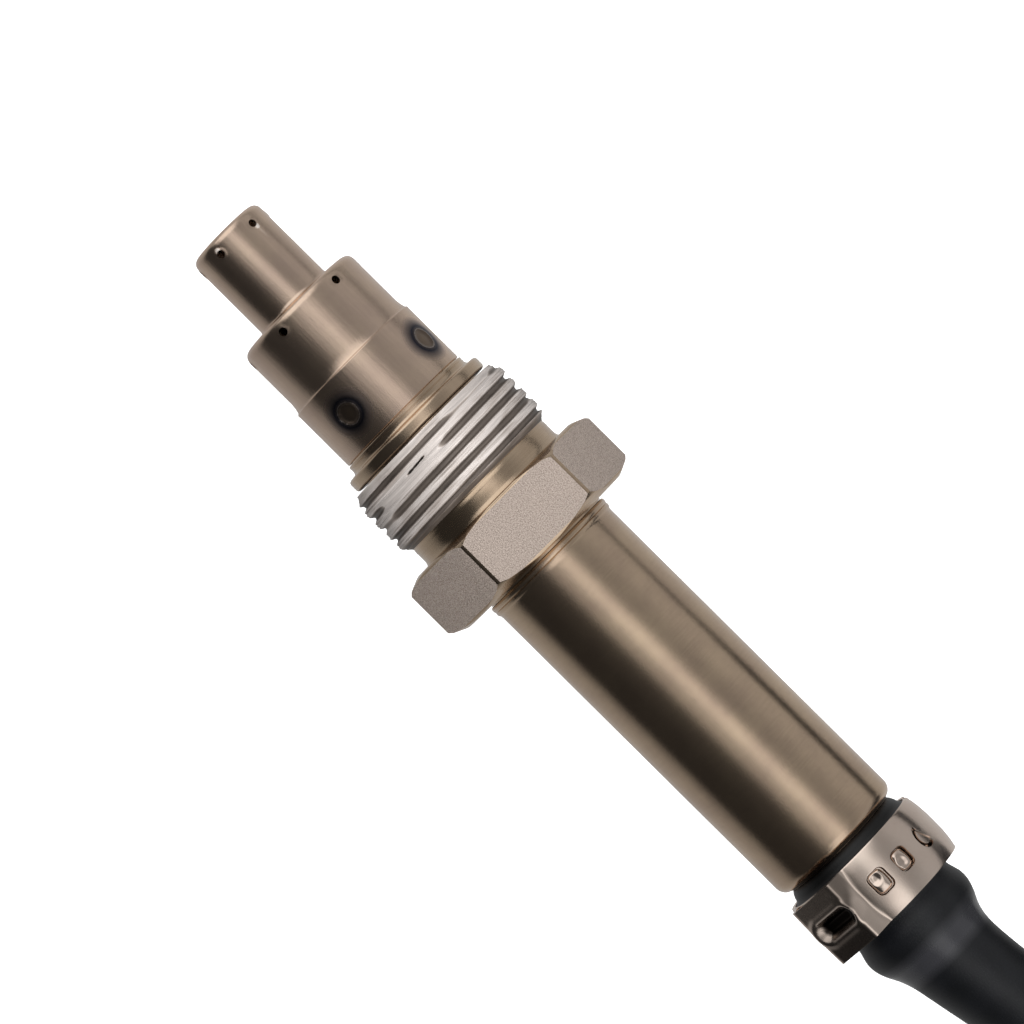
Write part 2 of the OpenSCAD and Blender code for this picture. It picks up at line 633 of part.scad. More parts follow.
// The boot is one skin of rings: back along its outside, round its rear edge and forward along its bore
module boot() color("#26282c") {
    sides = 24;
    tail_r = boot_tail_d / 2;
    bore_r = (cable_r + boot_gap) / cos(180 / sides);
    neck_bore = boot_bore_r / cos(180 / sides);
    last = len(BOOT_ROUTE) - 1;
    outside = concat(
        [[boot_lip_d / 2, boot_front], [boot_lip_d / 2 + 0.5, band_front + 0.1],
         [boot_collar_r, band_front - 0.3], [boot_collar_r, band_rear + 0.3], [boot_waist_d / 2, boot_waist_x]],
        arc([boot_bulge_d / 2 - boot_bulge_r, boot_bulge_x], boot_bulge_r, 35, -40, 6),
        arc([tail_r + boot_bend_r, BOOT_ROUTE[0][0]], boot_bend_r, 140, 170, 3));
    bore = [[bore_r, sleeve_rear - 3], [neck_bore, sleeve_rear - 0.4], [neck_bore, boot_front]];
    centres = concat([for (p = outside) [p[1], 0, 0]], BOOT_ROUTE, flip(BOOT_ROUTE),
                     [for (p = bore) [p[1], 0, 0]]);
    headings = concat([for (p = outside) [-1, 0, 0]], [for (i = [0 : last]) heading(BOOT_ROUTE, i)],
                      [for (i = [last : -1 : 0]) heading(BOOT_ROUTE, i)], [for (p = bore) [-1, 0, 0]]);
    radii = concat([for (p = outside) p[0]],
                   [for (i = [0 : last]) tail_r + (boot_end_d / 2 - tail_r) * i / last],
                   [for (i = [0 : last]) bore_r], [for (p = bore) p[0]]);
    n = len(centres);
    points = [for (i = [0 : n - 1]) each ring_at(centres[i], headings[i], radii[i], sides)];
    polyhedron(points, [for (i = [0 : n - 1]) for (k = [0 : sides - 1])
        let(j = (i + 1) % n, m = (k + 1) % sides)
        [i * sides + k, j * sides + k, j * sides + m, i * sides + m]]);
}

function same(route, r) = [for (p = route) r];
module cable_lead() color("#303238") swept(LEAD_ROUTE, same(LEAD_ROUTE, cable_r), 12);
module cable_tail() color("#303238") swept(TAIL_ROUTE, same(TAIL_ROUTE, cable_r), 12);

// The coil's section: two turns side by side on the floor and one lying in the groove between them
coil_floor = floor_z + strap_t;
coil_in = coil_r - 1.5 * cable_d;
coil_out = coil_r + cable_r;
coil_top = coil_floor + cable_d * (1 + sqrt(3) / 2);
function coil_section(grow) = concat(
    arc([coil_in + cable_r, coil_floor + cable_r], cable_r + grow, 270, 150, 5),
    arc([coil_r - cable_r, coil_top - cable_r], cable_r + grow, 150, 30, 5),
    arc([coil_r, coil_floor + cable_r], cable_r + grow, 30, -90, 5));
module cable_coil() color("#303238") translate([coil_centre[0], coil_centre[1], 0])
    rotate_extrude($fn = 96) polygon(coil_section(0));
module coil_strap() color("#1f2023") translate([coil_centre[0], coil_centre[1], 0])
    rotate([0, 0, strap_turn - strap_w / 2 / coil_r * 180 / PI])
        rotate_extrude(angle = strap_w / coil_r * 180 / PI, $fn = 96) difference() {
            polygon(coil_section(strap_t));
            polygon(coil_section(0.02));
        }

// The connector lies on its broad side, with its cavity towards +X
plug_x = plug_place[0] + cap_l - 2;
plug_z = floor_z + plug_h / 2;
module at_plug(x) translate([x, plug_place[1], plug_z]) children();
module rounded_block(l, w, h, r) rotate([90, 0, 90]) linear_extrude(l) union() {
    square([w - 2 * r, h], center = true);
    square([w, h - 2 * r], center = true);
    for (y = [-1, 1]) for (z = [-1, 1]) translate([y * (w / 2 - r), z * (h / 2 - r)]) circle(r = r, $fn = 32);
}
module connector_cap() color("#2b2d31") union() {
    at_plug(plug_place[0] + 2) rounded_block(cap_l - 4 - seat_gap, plug_w - 3, plug_h - 3, plug_corner - 1);
    at_plug(plug_place[0] + seat_gap) rotate([0, 90, 0])
        cylinder(d1 = cable_d + 2.4, d2 = cable_d + 5, h = 2.1 - seat_gap);
}
module connector_seal() color("#b5523a") at_plug(plug_x + seat_gap)
    rounded_block(3, plug_w - 2 * cavity_wall - 2 * seat_gap, plug_h - 2 * cavity_wall - 2 * seat_gap,
                  plug_corner - 1);
module connector_housing() color("#303236") difference() {
    inner_w = plug_w - 2 * cavity_wall;
    inner_h = plug_h - 2 * cavity_wall;
    union() {
        at_plug(plug_x) rounded_block(plug_l, plug_w, plug_h, plug_corner);
        // Guide ribs along both sides
        for (side = [-1, 1]) at_plug(plug_x + plug_l - cavity_deep) translate([0, side * plug_w / 2 - 0.5, -1])
            cube([cavity_deep - 2, 1, 2]);
        // The fixed latch nib on the upper face
        at_plug(plug_x + plug_l - 7) translate([0, 2.5, plug_h / 2 - 0.2]) rotate([90, 0, 0]) linear_extrude(5)
            polygon([[0, 0], [0, 1.9], [0.6, 1.9], [5, 0]]);
        // The raised collar at the cavity's mouth
        at_plug(plug_x + 6) rounded_block(2, plug_w + 1.2, plug_h, plug_corner);
    }
    at_plug(plug_x + plug_l - cavity_deep) rounded_block(cavity_deep + past, inner_w, inner_h, plug_corner - 1);
    at_plug(plug_x - past) rounded_block(3.1 + past, inner_w, inner_h, plug_corner - 1);
    pin_grid(-past, plug_l, pin_w + 2 * seat_gap);
}
// Square bars in two rows, from a place behind the housing's rear face
module pin_grid(from, l, w) for (i = [0 : pins - 1]) for (z = [-0.5, 0.5])
    at_plug(plug_x + from) translate([0, (i - (pins - 1) / 2) * pin_pitch - w / 2, z * pin_pitch - w / 2])
        cube([l, w, w]);
module connector_pins() color("#c9b87a") pin_grid(3.2, plug_l - 3.2 - 5, pin_w);

outer_cover();
first_inner_cover();
second_inner_cover();
main_fitting();
sensor_element();
front_supporter();
front_talc();
middle_supporter();
rear_talc();
rear_supporter();
metal_ring();
inner_cylinder();
union_nut();
outer_sleeve();
upper_contact_holder();
lower_contact_holder();
upper_contacts();
lower_contacts();
holder_ring();
lead_wires();
stopper();
ear_clamp();
boot();
cable_lead();
cable_coil();
cable_tail();
coil_strap();
connector_cap();
connector_seal();
connector_housing();
connector_pins();
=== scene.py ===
"""Nitrogen oxide sensor probe with a captive union nut and a coiled lead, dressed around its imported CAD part.

The probe's axis is X and its nose points to +X. The origin is on the axis, in the middle of the thread.
Sizes in this file are millimetres until they go into a mesh, where MM turns them into metres.
Angles round the probe are degrees from +Z towards +Y.
"""

import math

import bpy
from mathutils import Matrix, Vector, noise


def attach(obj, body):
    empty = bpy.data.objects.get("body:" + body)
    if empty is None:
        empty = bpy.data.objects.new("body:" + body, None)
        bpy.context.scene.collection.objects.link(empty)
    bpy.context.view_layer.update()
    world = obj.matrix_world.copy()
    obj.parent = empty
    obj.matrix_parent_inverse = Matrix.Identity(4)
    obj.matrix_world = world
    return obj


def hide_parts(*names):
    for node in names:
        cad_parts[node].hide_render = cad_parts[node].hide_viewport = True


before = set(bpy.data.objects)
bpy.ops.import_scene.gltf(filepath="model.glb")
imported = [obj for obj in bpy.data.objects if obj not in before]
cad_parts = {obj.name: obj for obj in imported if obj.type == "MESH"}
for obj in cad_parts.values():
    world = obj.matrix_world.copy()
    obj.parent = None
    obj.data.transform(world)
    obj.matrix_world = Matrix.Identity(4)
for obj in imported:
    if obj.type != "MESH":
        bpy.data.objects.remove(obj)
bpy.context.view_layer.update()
MM = 0.001

# ---- Camera ------------------------------------------------------------------
# It stands almost straight above the probe, leaning a little towards +Y, with a long lens, and is
# rolled so that the nose points to the upper left.
CAMERA_LEAN = math.radians(4.8)
CAMERA_ROLL = math.radians(44.75)
VIEW_WIDTH, LENS, SENSOR = 102.0, 200.0, 36.0
aim = Vector((-8.07, -0.5, 0.04))
sight = Vector((0, math.sin(CAMERA_LEAN), math.cos(CAMERA_LEAN)))
across = Vector((0, math.cos(CAMERA_LEAN), -math.sin(CAMERA_LEAN)))
right = -math.cos(CAMERA_ROLL) * Vector((1, 0, 0)) - math.sin(CAMERA_ROLL) * across
up = math.sin(CAMERA_ROLL) * Vector((1, 0, 0)) - math.cos(CAMERA_ROLL) * across
bpy.ops.object.camera_add(location=(aim + sight * VIEW_WIDTH * LENS / SENSOR) * MM)
camera = bpy.context.object
camera.rotation_euler = Matrix((right, up, sight)).transposed().to_euler()
camera.data.lens = LENS
camera.data.sensor_width = SENSOR
camera.data.clip_start = 0.01
bpy.context.scene.camera = camera
bpy.context.scene.view_settings.view_transform = "Standard"


# ---- Studio ------------------------------------------------------------------
# A white table, a long soft light overhead that runs the length of the probe and fades towards -Y,
# and a dark room on the +Y side, which draws the black band down every polished tube.
def linear(colour):
    """An sRGB hex colour as linear red, green, blue and alpha."""
    parts = [int(colour[i:i + 2], 16) / 255 for i in (1, 3, 5)]
    return [p / 12.92 if p <= 0.04045 else ((p + 0.055) / 1.055) ** 2.4 for p in parts] + [1]


def fit(tree, node, settings):
    """Gives a node its settings. Each is a property, the stops of a ramp, or an input by its name or
    number, given a value, an output, or another node for its first output."""
    for key, value in settings.items():
        if isinstance(value, bpy.types.Node):
            value = value.outputs[0]
        if key == "stops":
            ramp = node.color_ramp.elements
            while len(ramp) < len(value):
                ramp.new(0.5)
            for stop, (place, colour) in zip(ramp, value):
                stop.position, stop.color = place, linear(colour)
        elif isinstance(value, bpy.types.NodeSocket):
            tree.links.new(value, node.inputs[key])
        elif isinstance(key, int) or key in node.inputs:
            node.inputs[key].default_value = value
        else:
            setattr(node, key, value)
    return node


def add(tree, kind, settings):
    """Adds a shader node with its settings."""
    return fit(tree, tree.nodes.new("ShaderNode" + kind), settings)


FLOOR_Z, TABLE = -11.0, 4000.0
world = bpy.data.worlds.new("studio")
bpy.context.scene.world = world
world.use_nodes = True
tree = world.node_tree
tree.nodes.clear()
where = add(tree, "SeparateXYZ", {0: add(tree, "TexCoord", {}).outputs["Generated"]})
turned = add(tree, "Math", {"operation": "ARCTAN2", 0: where.outputs["Y"], 1: where.outputs["Z"]})
share = add(tree, "MapRange", {"Value": turned, "From Min": -math.pi, "From Max": math.pi})
# Places on the ramp are (angle + 180) / 360, with the angle counted from +Z towards +Y
room = add(tree, "ValToRGB", {"Fac": share, "stops": [
    (0.242, "#a4a4a4"), (0.325, "#a3a3a3"), (0.364, "#939393"), (0.400, "#898989"), (0.422, "#8b8b8b"),
    (0.439, "#9c9c9c"), (0.454, "#c2c2c2"), (0.469, "#dedede"), (0.489, "#e0e0e0"), (0.503, "#d2d2d2"),
    (0.519, "#a8a8a8"), (0.536, "#9d9d9d"), (0.554, "#9a9a9a"), (0.568, "#686868"), (0.586, "#4a4a4a"),
    (0.611, "#3d3d3d"), (0.678, "#2f2f2f"), (0.760, "#2d2d2d")]})
# A second soft light stands beyond the nose, low over the table: it draws the pale lines on every
# shoulder that faces forwards. The long light is brightest at its far end, behind the boot.
# Each spread: the direction it is read in, where it starts and ends, and its worth at both
aside = add(tree, "Math", {"operation": "ABSOLUTE", 0: where.outputs["Y"]})
ahead, above, narrow, behind, middle = [
    add(tree, "MapRange", {"Value": value, "From Min": start, "From Max": end, "To Min": at_start,
                           "To Max": at_end, "interpolation_type": "SMOOTHSTEP"})
    for value, start, end, at_start, at_end in (
        (where.outputs["X"], 0.22, 0.5, 0.0, 1.0), (where.outputs["Z"], 0.0, 0.14, 0.0, 1.0),
        (aside, 0.32, 0.58, 1.0, 0.0), (where.outputs["X"], -0.10, -0.36, 0.0, 1.0),
        (aside, 0.10, 0.34, 0.75, 0.0))]
ends = []
for light, *others in ((ahead, above, narrow), (behind, middle, above)):
    for other in others:
        light = add(tree, "Math", {"operation": "MULTIPLY", 0: light, 1: other})
    ends.append(light)
both_ends = add(tree, "Math", {"operation": "MAXIMUM", 0: ends[0], 1: ends[1]})
all_light = add(tree, "Mix", {"data_type": "RGBA", 0: both_ends, 6: room, 7: linear("#ffffff")})
lit = add(tree, "Background", {"Color": all_light.outputs[2], "Strength": 1.1})
white = add(tree, "Background", {"Color": linear("#ffffff"), "Strength": 1.0})
seen = add(tree, "LightPath", {})
mixed = add(tree, "MixShader", {0: seen.outputs["Is Camera Ray"], 1: lit, 2: white})
add(tree, "OutputWorld", {"Surface": mixed})

# A broad lamp that only lights: it doesn't show in the metal
LAMP_PLACE, LAMP_SIZE, LAMP_WATTS, LAMP_TILT = Vector((-30, -20, 550)), 500.0, 6.0, -2
bpy.ops.object.light_add(type="AREA", location=LAMP_PLACE * MM)
lamp = bpy.context.object
lamp.data.size = LAMP_SIZE * MM
lamp.data.energy = LAMP_WATTS
lamp.rotation_euler = (math.radians(LAMP_TILT), 0, 0)
lamp.visible_glossy = False

bpy.ops.mesh.primitive_grid_add(x_subdivisions=2, y_subdivisions=2, size=TABLE * MM,
                                location=(0, 0, FLOOR_Z * MM))
floor = bpy.context.object
floor.name = "table_top"
bpy.ops.object.transform_apply(location=True, rotation=True, scale=True)
paper = bpy.data.materials.new("white_paper")
paper.use_nodes = True
tree = paper.node_tree
tree.nodes.clear()
# Matt white paper: what the camera sees of it adds its own light, so that it reads as a white
# background and still takes a trace of the probe's shadow; what the metal mirrors is a grey sheet that
# ends 0.14 m from the probe on both sides, with a dark gap before the room's wall
matt = add(tree, "BsdfDiffuse", {"Color": linear("#c8c8c8")})
glow = add(tree, "Emission", {"Color": linear("#ffffff"), "Strength": 0.90})
bright = add(tree, "AddShader", {0: matt, 1: glow})
place = add(tree, "SeparateXYZ", {0: add(tree, "TexCoord", {}).outputs["Object"]})
along_y = add(tree, "MapRange", {"Value": place.outputs["Y"], "From Min": -0.8, "From Max": 0.2})
sheet = add(tree, "ValToRGB", {"Fac": along_y, "stops": [
    (0.17, "#9c9c9c"), (0.20, "#242424"), (0.650, "#242424"), (0.656, "#9c9c9c"), (0.760, "#aaaaaa"),
    (0.778, "#b8b8b8"), (0.790, "#c2c2c2"), (0.810, "#b0b0b0"), (0.818, "#a6a6a6"), (0.826, "#9e9e9e"),
    (0.840, "#909090"), (0.870, "#797979"), (0.915, "#626262"), (0.936, "#2a2a2a")]})
mirrored = add(tree, "Emission", {"Color": sheet, "Strength": 1.0})
seen = add(tree, "LightPath", {})
both = add(tree, "MixShader", {0: seen.outputs["Is Camera Ray"], 1: mirrored, 2: bright})
add(tree, "OutputMaterial", {"Surface": both})
floor.data.materials.append(paper)

# ---- Cable -------------------------------------------------------------------
# A round 7 mm cable with a black rubber sheath. It leaves the boot, drops to the table, and is wound
# into a coil of two and a half turns whose last half turn lies in the groove between the others.
CABLE_D = 7.0
COIL_CENTRE = (-108.0, -41.5)
LEAD = [(-84, -2.2, -3.1), (-88, -2.6, -4.1), (-92, -2.8, -5), (-96, -2.9, -5.8), (-100, -3, -6.4),
        (-104, -3, -6.8)]
TAIL = [(-104, -76.5, -0.8), (-100, -76.5, -0.4), (-96, -76.5, -0.05), (-92, -76.5, 0.1), (-87, -76.5, -0.2),
        (-83, -76.5, -1), (-79.5, -76.5, -2), (-76, -76.5, -2.7), (-73, -76.5, -3), (-71.5, -76.5, -3)]
# Places on the coil: angle in degrees from +X towards +Y, radius and height; turns lie a diameter apart
COIL = [(90, 38.5, -7), (375, 38.5, -7), (440, 31.5, -7), (695, 31.5, -7), (755, 32.7, -0.3), (775, 33.6, 0),
        (812, 35, -0.93), (990, 35, -0.93)]


def ease(low, high, at):
    """0 below low, 1 above high, and smooth between them."""
    share = min(max((at - low) / (high - low), 0), 1)
    return share * share * (3 - 2 * share)


def on_coil(angle):
    """The point of the coil at an angle, in millimetres."""
    for (a, r0, z0), (b, r1, z1) in zip(COIL, COIL[1:]):
        if angle <= b:
            share = ease(a, b, angle)
            r, z = r0 + (r1 - r0) * share, z0 + (z1 - z0) * share
            turn_by = math.radians(angle)
            return (COIL_CENTRE[0] + r * math.cos(turn_by), COIL_CENTRE[1] + r * math.sin(turn_by), z)


route = LEAD + [on_coil(angle) for angle in range(90, 991, 10)] + TAIL
line = bpy.data.curves.new("cable", "CURVE")
line.dimensions = "3D"
line.bevel_depth = CABLE_D / 2 * MM
line.bevel_resolution = 7
line.resolution_u = 3
line.use_fill_caps = True
spline = line.splines.new("NURBS")
spline.points.add(len(route) - 1)
for point, place in zip(spline.points, route):
    point.co = (*[v * MM for v in place], 1)
spline.order_u = 3
spline.use_endpoint_u = True
cable = bpy.data.objects.new("cable", line)
bpy.context.scene.collection.objects.link(cable)


def material_for(name):
    """A new material, its node tree, its shader, and object coordinates in millimetres."""
    material = bpy.data.materials.new(name)
    material.use_nodes = True
    tree = material.node_tree
    here = add(tree, "VectorMath", {
        "operation": "SCALE", 0: add(tree, "TexCoord", {}).outputs["Object"], "Scale": 1 / MM})
    return material, tree, tree.nodes["Principled BSDF"], here


# EPDM sheath: deep black, extruded, with a fine dull skin and a little dust
sheath, tree, shader, here = material_for("epdm_cable_sheath")
grain = add(tree, "TexNoise", {"Vector": here, "Scale": 2.2, "Detail": 6.0})
dusty = add(tree, "ValToRGB", {"Fac": grain, "stops": [(0.3, "#17181a"), (0.75, "#2a2b2e")]})
dull = add(tree, "MapRange", {"Value": grain, "To Min": 0.42, "To Max": 0.62})
skin = add(tree, "Bump", {"Height": grain, "Strength": 0.12, "Distance": 0.0001})
fit(tree, shader, {"Base Color": dusty, "Roughness": dull, "Normal": skin})
cable.data.materials.append(sheath)
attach(cable, "probe")
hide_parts("cable_lead", "cable_coil", "cable_tail")

# ---- Outer cover -------------------------------------------------------------
# A cup of 0.4 mm stainless sheet, deep drawn in two steps, with six gas holes in the nose and six in
# the body. It is pushed over the fitting and held by four spot welds.
SKIRT_X, SKIRT_END, BODY_X, BODY_END, TIP = 6.65, 13.55, 14.85, 21.8, 31.9
SKIRT_R, BODY_R, NOSE_R, COVER_WALL = 7.7, 7.35, 4.4, 0.4
NOSE_CORNER, BODY_CORNER, NOSE_FILLET = 0.85, 0.9, 0.5
HOLE_TURN, HOLES, WELD_TURN, WELDS = 26.8, 6, 35.8, 4
WELD_X, WELD_REACH, SCORCH_REACH = 10.2, 2.4, 3.0
HOLE_ANGLES = [HOLE_TURN + 360 / HOLES * i for i in range(HOLES)]
WELD_ANGLES = [WELD_TURN + 360 / WELDS * i for i in range(WELDS)]
# Each row of holes: its place along X, the holes' radius, and the tube's
HOLE_ROWS = ((20.4, 0.46, BODY_R), (30.3, 0.43, NOSE_R))


def rounding(r, x, radius, start, end, steps=6):
    """Points of an arc in an outline of (radius, x) points, from one angle to another."""
    sweep = [math.radians(start + (end - start) * i / steps) for i in range(steps + 1)]
    return [(r + radius * math.cos(a), x + radius * math.sin(a)) for a in sweep]


def rows(outline, pitch):
    """The outline with points added, so that none lies further than pitch from the next."""
    fine = [outline[0]]
    for (r0, x0), (r1, x1) in zip(outline, outline[1:]):
        count = max(1, math.ceil(math.dist((r0, x0), (r1, x1)) / pitch))
        fine += [(r0 + (r1 - r0) * i / count, x0 + (x1 - x0) * i / count) for i in range(1, count + 1)]
    return fine


def spun(name, outline, steps=160):
    """Draws an outline of (radius, x) points by extruding a vertex, and spins it round the X axis."""
    bpy.ops.mesh.primitive_plane_add(size=MM, location=(outline[0][1] * MM, 0, outline[0][0] * MM))
    piece = bpy.context.object
    piece.name = piece.data.name = name
    bpy.ops.object.transform_apply(location=True, rotation=True, scale=True)
    bpy.ops.object.mode_set(mode="EDIT")
    bpy.ops.mesh.select_all(action="SELECT")
    bpy.ops.mesh.merge(type="CENTER")
    for (r0, x0), (r1, x1) in zip(outline, outline[1:]):
        bpy.ops.mesh.extrude_region_move(
            TRANSFORM_OT_translate={"value": ((x1 - x0) * MM, 0, (r1 - r0) * MM)})
    bpy.ops.mesh.select_all(action="SELECT")
    bpy.ops.mesh.spin(steps=steps, angle=2 * math.pi, center=(0, 0, 0), axis=(1, 0, 0))
    bpy.ops.mesh.select_all(action="SELECT")
    bpy.ops.mesh.remove_doubles(threshold=2e-6)
    bpy.ops.mesh.normals_make_consistent(inside=False)
    bpy.ops.object.mode_set(mode="OBJECT")
    return piece


def choose(*pieces):
    """Selects only these pieces and makes the last of them the active one."""
    bpy.ops.object.select_all(action="DESELECT")
    for piece in pieces:
        piece.select_set(True)
    bpy.context.view_layer.objects.active = pieces[-1]


def smooth(piece, angle=32):
    """Smooth shading, with edges sharper than the angle left crisp."""
    choose(piece)
    bpy.ops.object.shade_smooth_by_angle(angle=math.radians(angle))


def worked(piece, kind, **settings):
    """Puts a modifier with its settings on a piece and applies it."""
    choose(piece)
    modifier = piece.modifiers.new("work", kind)
    for key, value in settings.items():
        setattr(modifier, key, value)
    bpy.ops.object.modifier_apply(modifier=modifier.name)


def about(x, angle, out):
    """The move that takes a shape from the origin to x on the axis and out from there at an angle."""
    turn = Matrix.Translation((x * MM, 0, 0)) @ Matrix.Rotation(-math.radians(angle), 4, "X")
    return turn @ Matrix.Translation((0, 0, out * MM))


def dent(piece, x, angle, reach, depth):
    """Moves the skin near a place on a tube outwards by depth(distance), both in millimetres."""
    way = Vector((0, math.sin(math.radians(angle)), math.cos(math.radians(angle))))
    for vertex in piece.data.vertices:
        spot = vertex.co / MM
        off = Vector((spot.x - x, 0, 0)) + (spot - Vector((spot.x, 0, 0)) - way * spot.dot(way))
        if spot.dot(way) > 0 and off.length < reach:
            out = Vector((0, spot.y, spot.z)).normalized()
            vertex.co += out * depth(off.length) * MM


def cut(piece, cutters, operation="DIFFERENCE"):
    """Takes the cutters out of a piece, or keeps what lies in them, and deletes them."""
    for cutter in cutters:
        worked(piece, "BOOLEAN", object=cutter, operation=operation, solver="EXACT")
        bpy.data.objects.remove(cutter)


outside = (
    rows([(SKIRT_R - 0.08, SKIRT_X), (SKIRT_R, SKIRT_X + 0.09), (SKIRT_R, 13.5)], 0.16)
    + [(7.72, 13.62), (7.72, 13.74), (7.685, 13.81), (7.60, 13.86), (7.535, 13.93), (7.49, 14.08),
       (7.44, 14.3), (7.39, 14.6), (7.36, 14.85), (BODY_R, 15.1)]
    + rows([(BODY_R, 15.1), (BODY_R, 19.6)], 1.5)[1:] + rows([(BODY_R, 19.6), (BODY_R, 20.85)], 0.13)[1:]
    + rounding(BODY_R - BODY_CORNER, BODY_END - BODY_CORNER, BODY_CORNER, 0, 90, 9)
    + rounding(NOSE_R + NOSE_FILLET, BODY_END + NOSE_FILLET, NOSE_FILLET, 270, 180, 6)
    + rows([(NOSE_R, 22.4), (NOSE_R, 29.5)], 1.5)[1:] + rows([(NOSE_R, 29.5), (NOSE_R, 31.0)], 0.11)[1:]
    + rounding(NOSE_R - NOSE_CORNER, TIP - NOSE_CORNER, NOSE_CORNER, 5, 90, 9) + [(1.8, TIP), (0, TIP)])
inside = [(0, TIP - COVER_WALL), (NOSE_R - 0.9, TIP - COVER_WALL), (NOSE_R - COVER_WALL, TIP - 0.9),
          (NOSE_R - COVER_WALL, BODY_END + 0.2), (NOSE_R, BODY_END - COVER_WALL),
          (BODY_R - 0.9, BODY_END - COVER_WALL), (BODY_R - COVER_WALL, BODY_END - 0.9),
          (BODY_R - COVER_WALL, BODY_X), (SKIRT_R - COVER_WALL, SKIRT_END), (SKIRT_R - COVER_WALL, SKIRT_X),
          (SKIRT_R - 0.08, SKIRT_X)]
cover = spun("cover_shell", outside + inside, 224)
# Each spot weld is a shallow crater with a low rim and a fainter ring outside it, and each punched
# hole has a fine raised lip, torn up at one side on the nose
for angle in WELD_ANGLES:
    dent(cover, WELD_X, angle, WELD_REACH, lambda d: (
        -0.13 * (1 - ease(0.85, 1.15, d)) + 0.06 * ease(1.0, 1.24, d) * (1 - ease(1.26, 1.5, d))
        + 0.025 * ease(1.55, 1.75, d) * (1 - ease(1.8, 2.1, d))))
for x, r, _ in HOLE_ROWS:
    for angle in HOLE_ANGLES:
        dent(cover, x, angle, r + 0.4, lambda d: 0.045 * (1 - ease(r + 0.05, r + 0.25, d)))
BURRS = [(HOLE_ROWS[1][0] + along, angle + aside) for angle, (along, aside) in zip(
    HOLE_ANGLES, ((0.46, 0), (0.5, 2), (-0.45, 4), (0.3, -5), (-0.2, 6), (-0.5, -2.5)))]
for x, angle in BURRS:
    dent(cover, x, angle, 0.36, lambda d: 0.05 * (1 - ease(0.05, 0.34, d)))


def painted(piece, name, worth):
    """Keeps worth(x, y, z) of each vertex, in millimetres, as an attribute that a material reads."""
    values = [worth(*(vertex.co / MM)) for vertex in piece.data.vertices]
    piece.data.attributes.new(name, "FLOAT", "POINT").data.foreach_set("value", values)


def nearest(x, y, z, spots, r):
    """Distance from a place to the nearest of some spots, given as (x, angle), on a tube of radius r."""
    return min(math.dist((x, y, z), (at, r * math.sin(math.radians(a)), r * math.cos(math.radians(a))))
               for at, a in spots)


drills = []
for x, r, wall_r in HOLE_ROWS:
    for angle in HOLE_ANGLES:
        bpy.ops.mesh.primitive_cylinder_add(vertices=24, radius=r * MM, depth=2.4 * MM)
        bpy.context.object.data.transform(about(x, angle, wall_r))
        drills.append(bpy.context.object)
cut(cover, drills)
# Scorch runs from 1 in the middle of a spot weld to 0 at 3 mm from it, and the torn lips are bare metal painted
# pale as their glint
WELD_SPOTS = [(WELD_X, angle) for angle in WELD_ANGLES]
painted(cover, "scorch", lambda x, y, z: max(0, 1 - nearest(x, y, z, WELD_SPOTS, SKIRT_R) / SCORCH_REACH))
painted(cover, "torn", lambda x, y, z: 1 - ease(0.2, 0.36, nearest(x, y, z, BURRS, NOSE_R)) if x > 29 else 0)
smooth(cover)


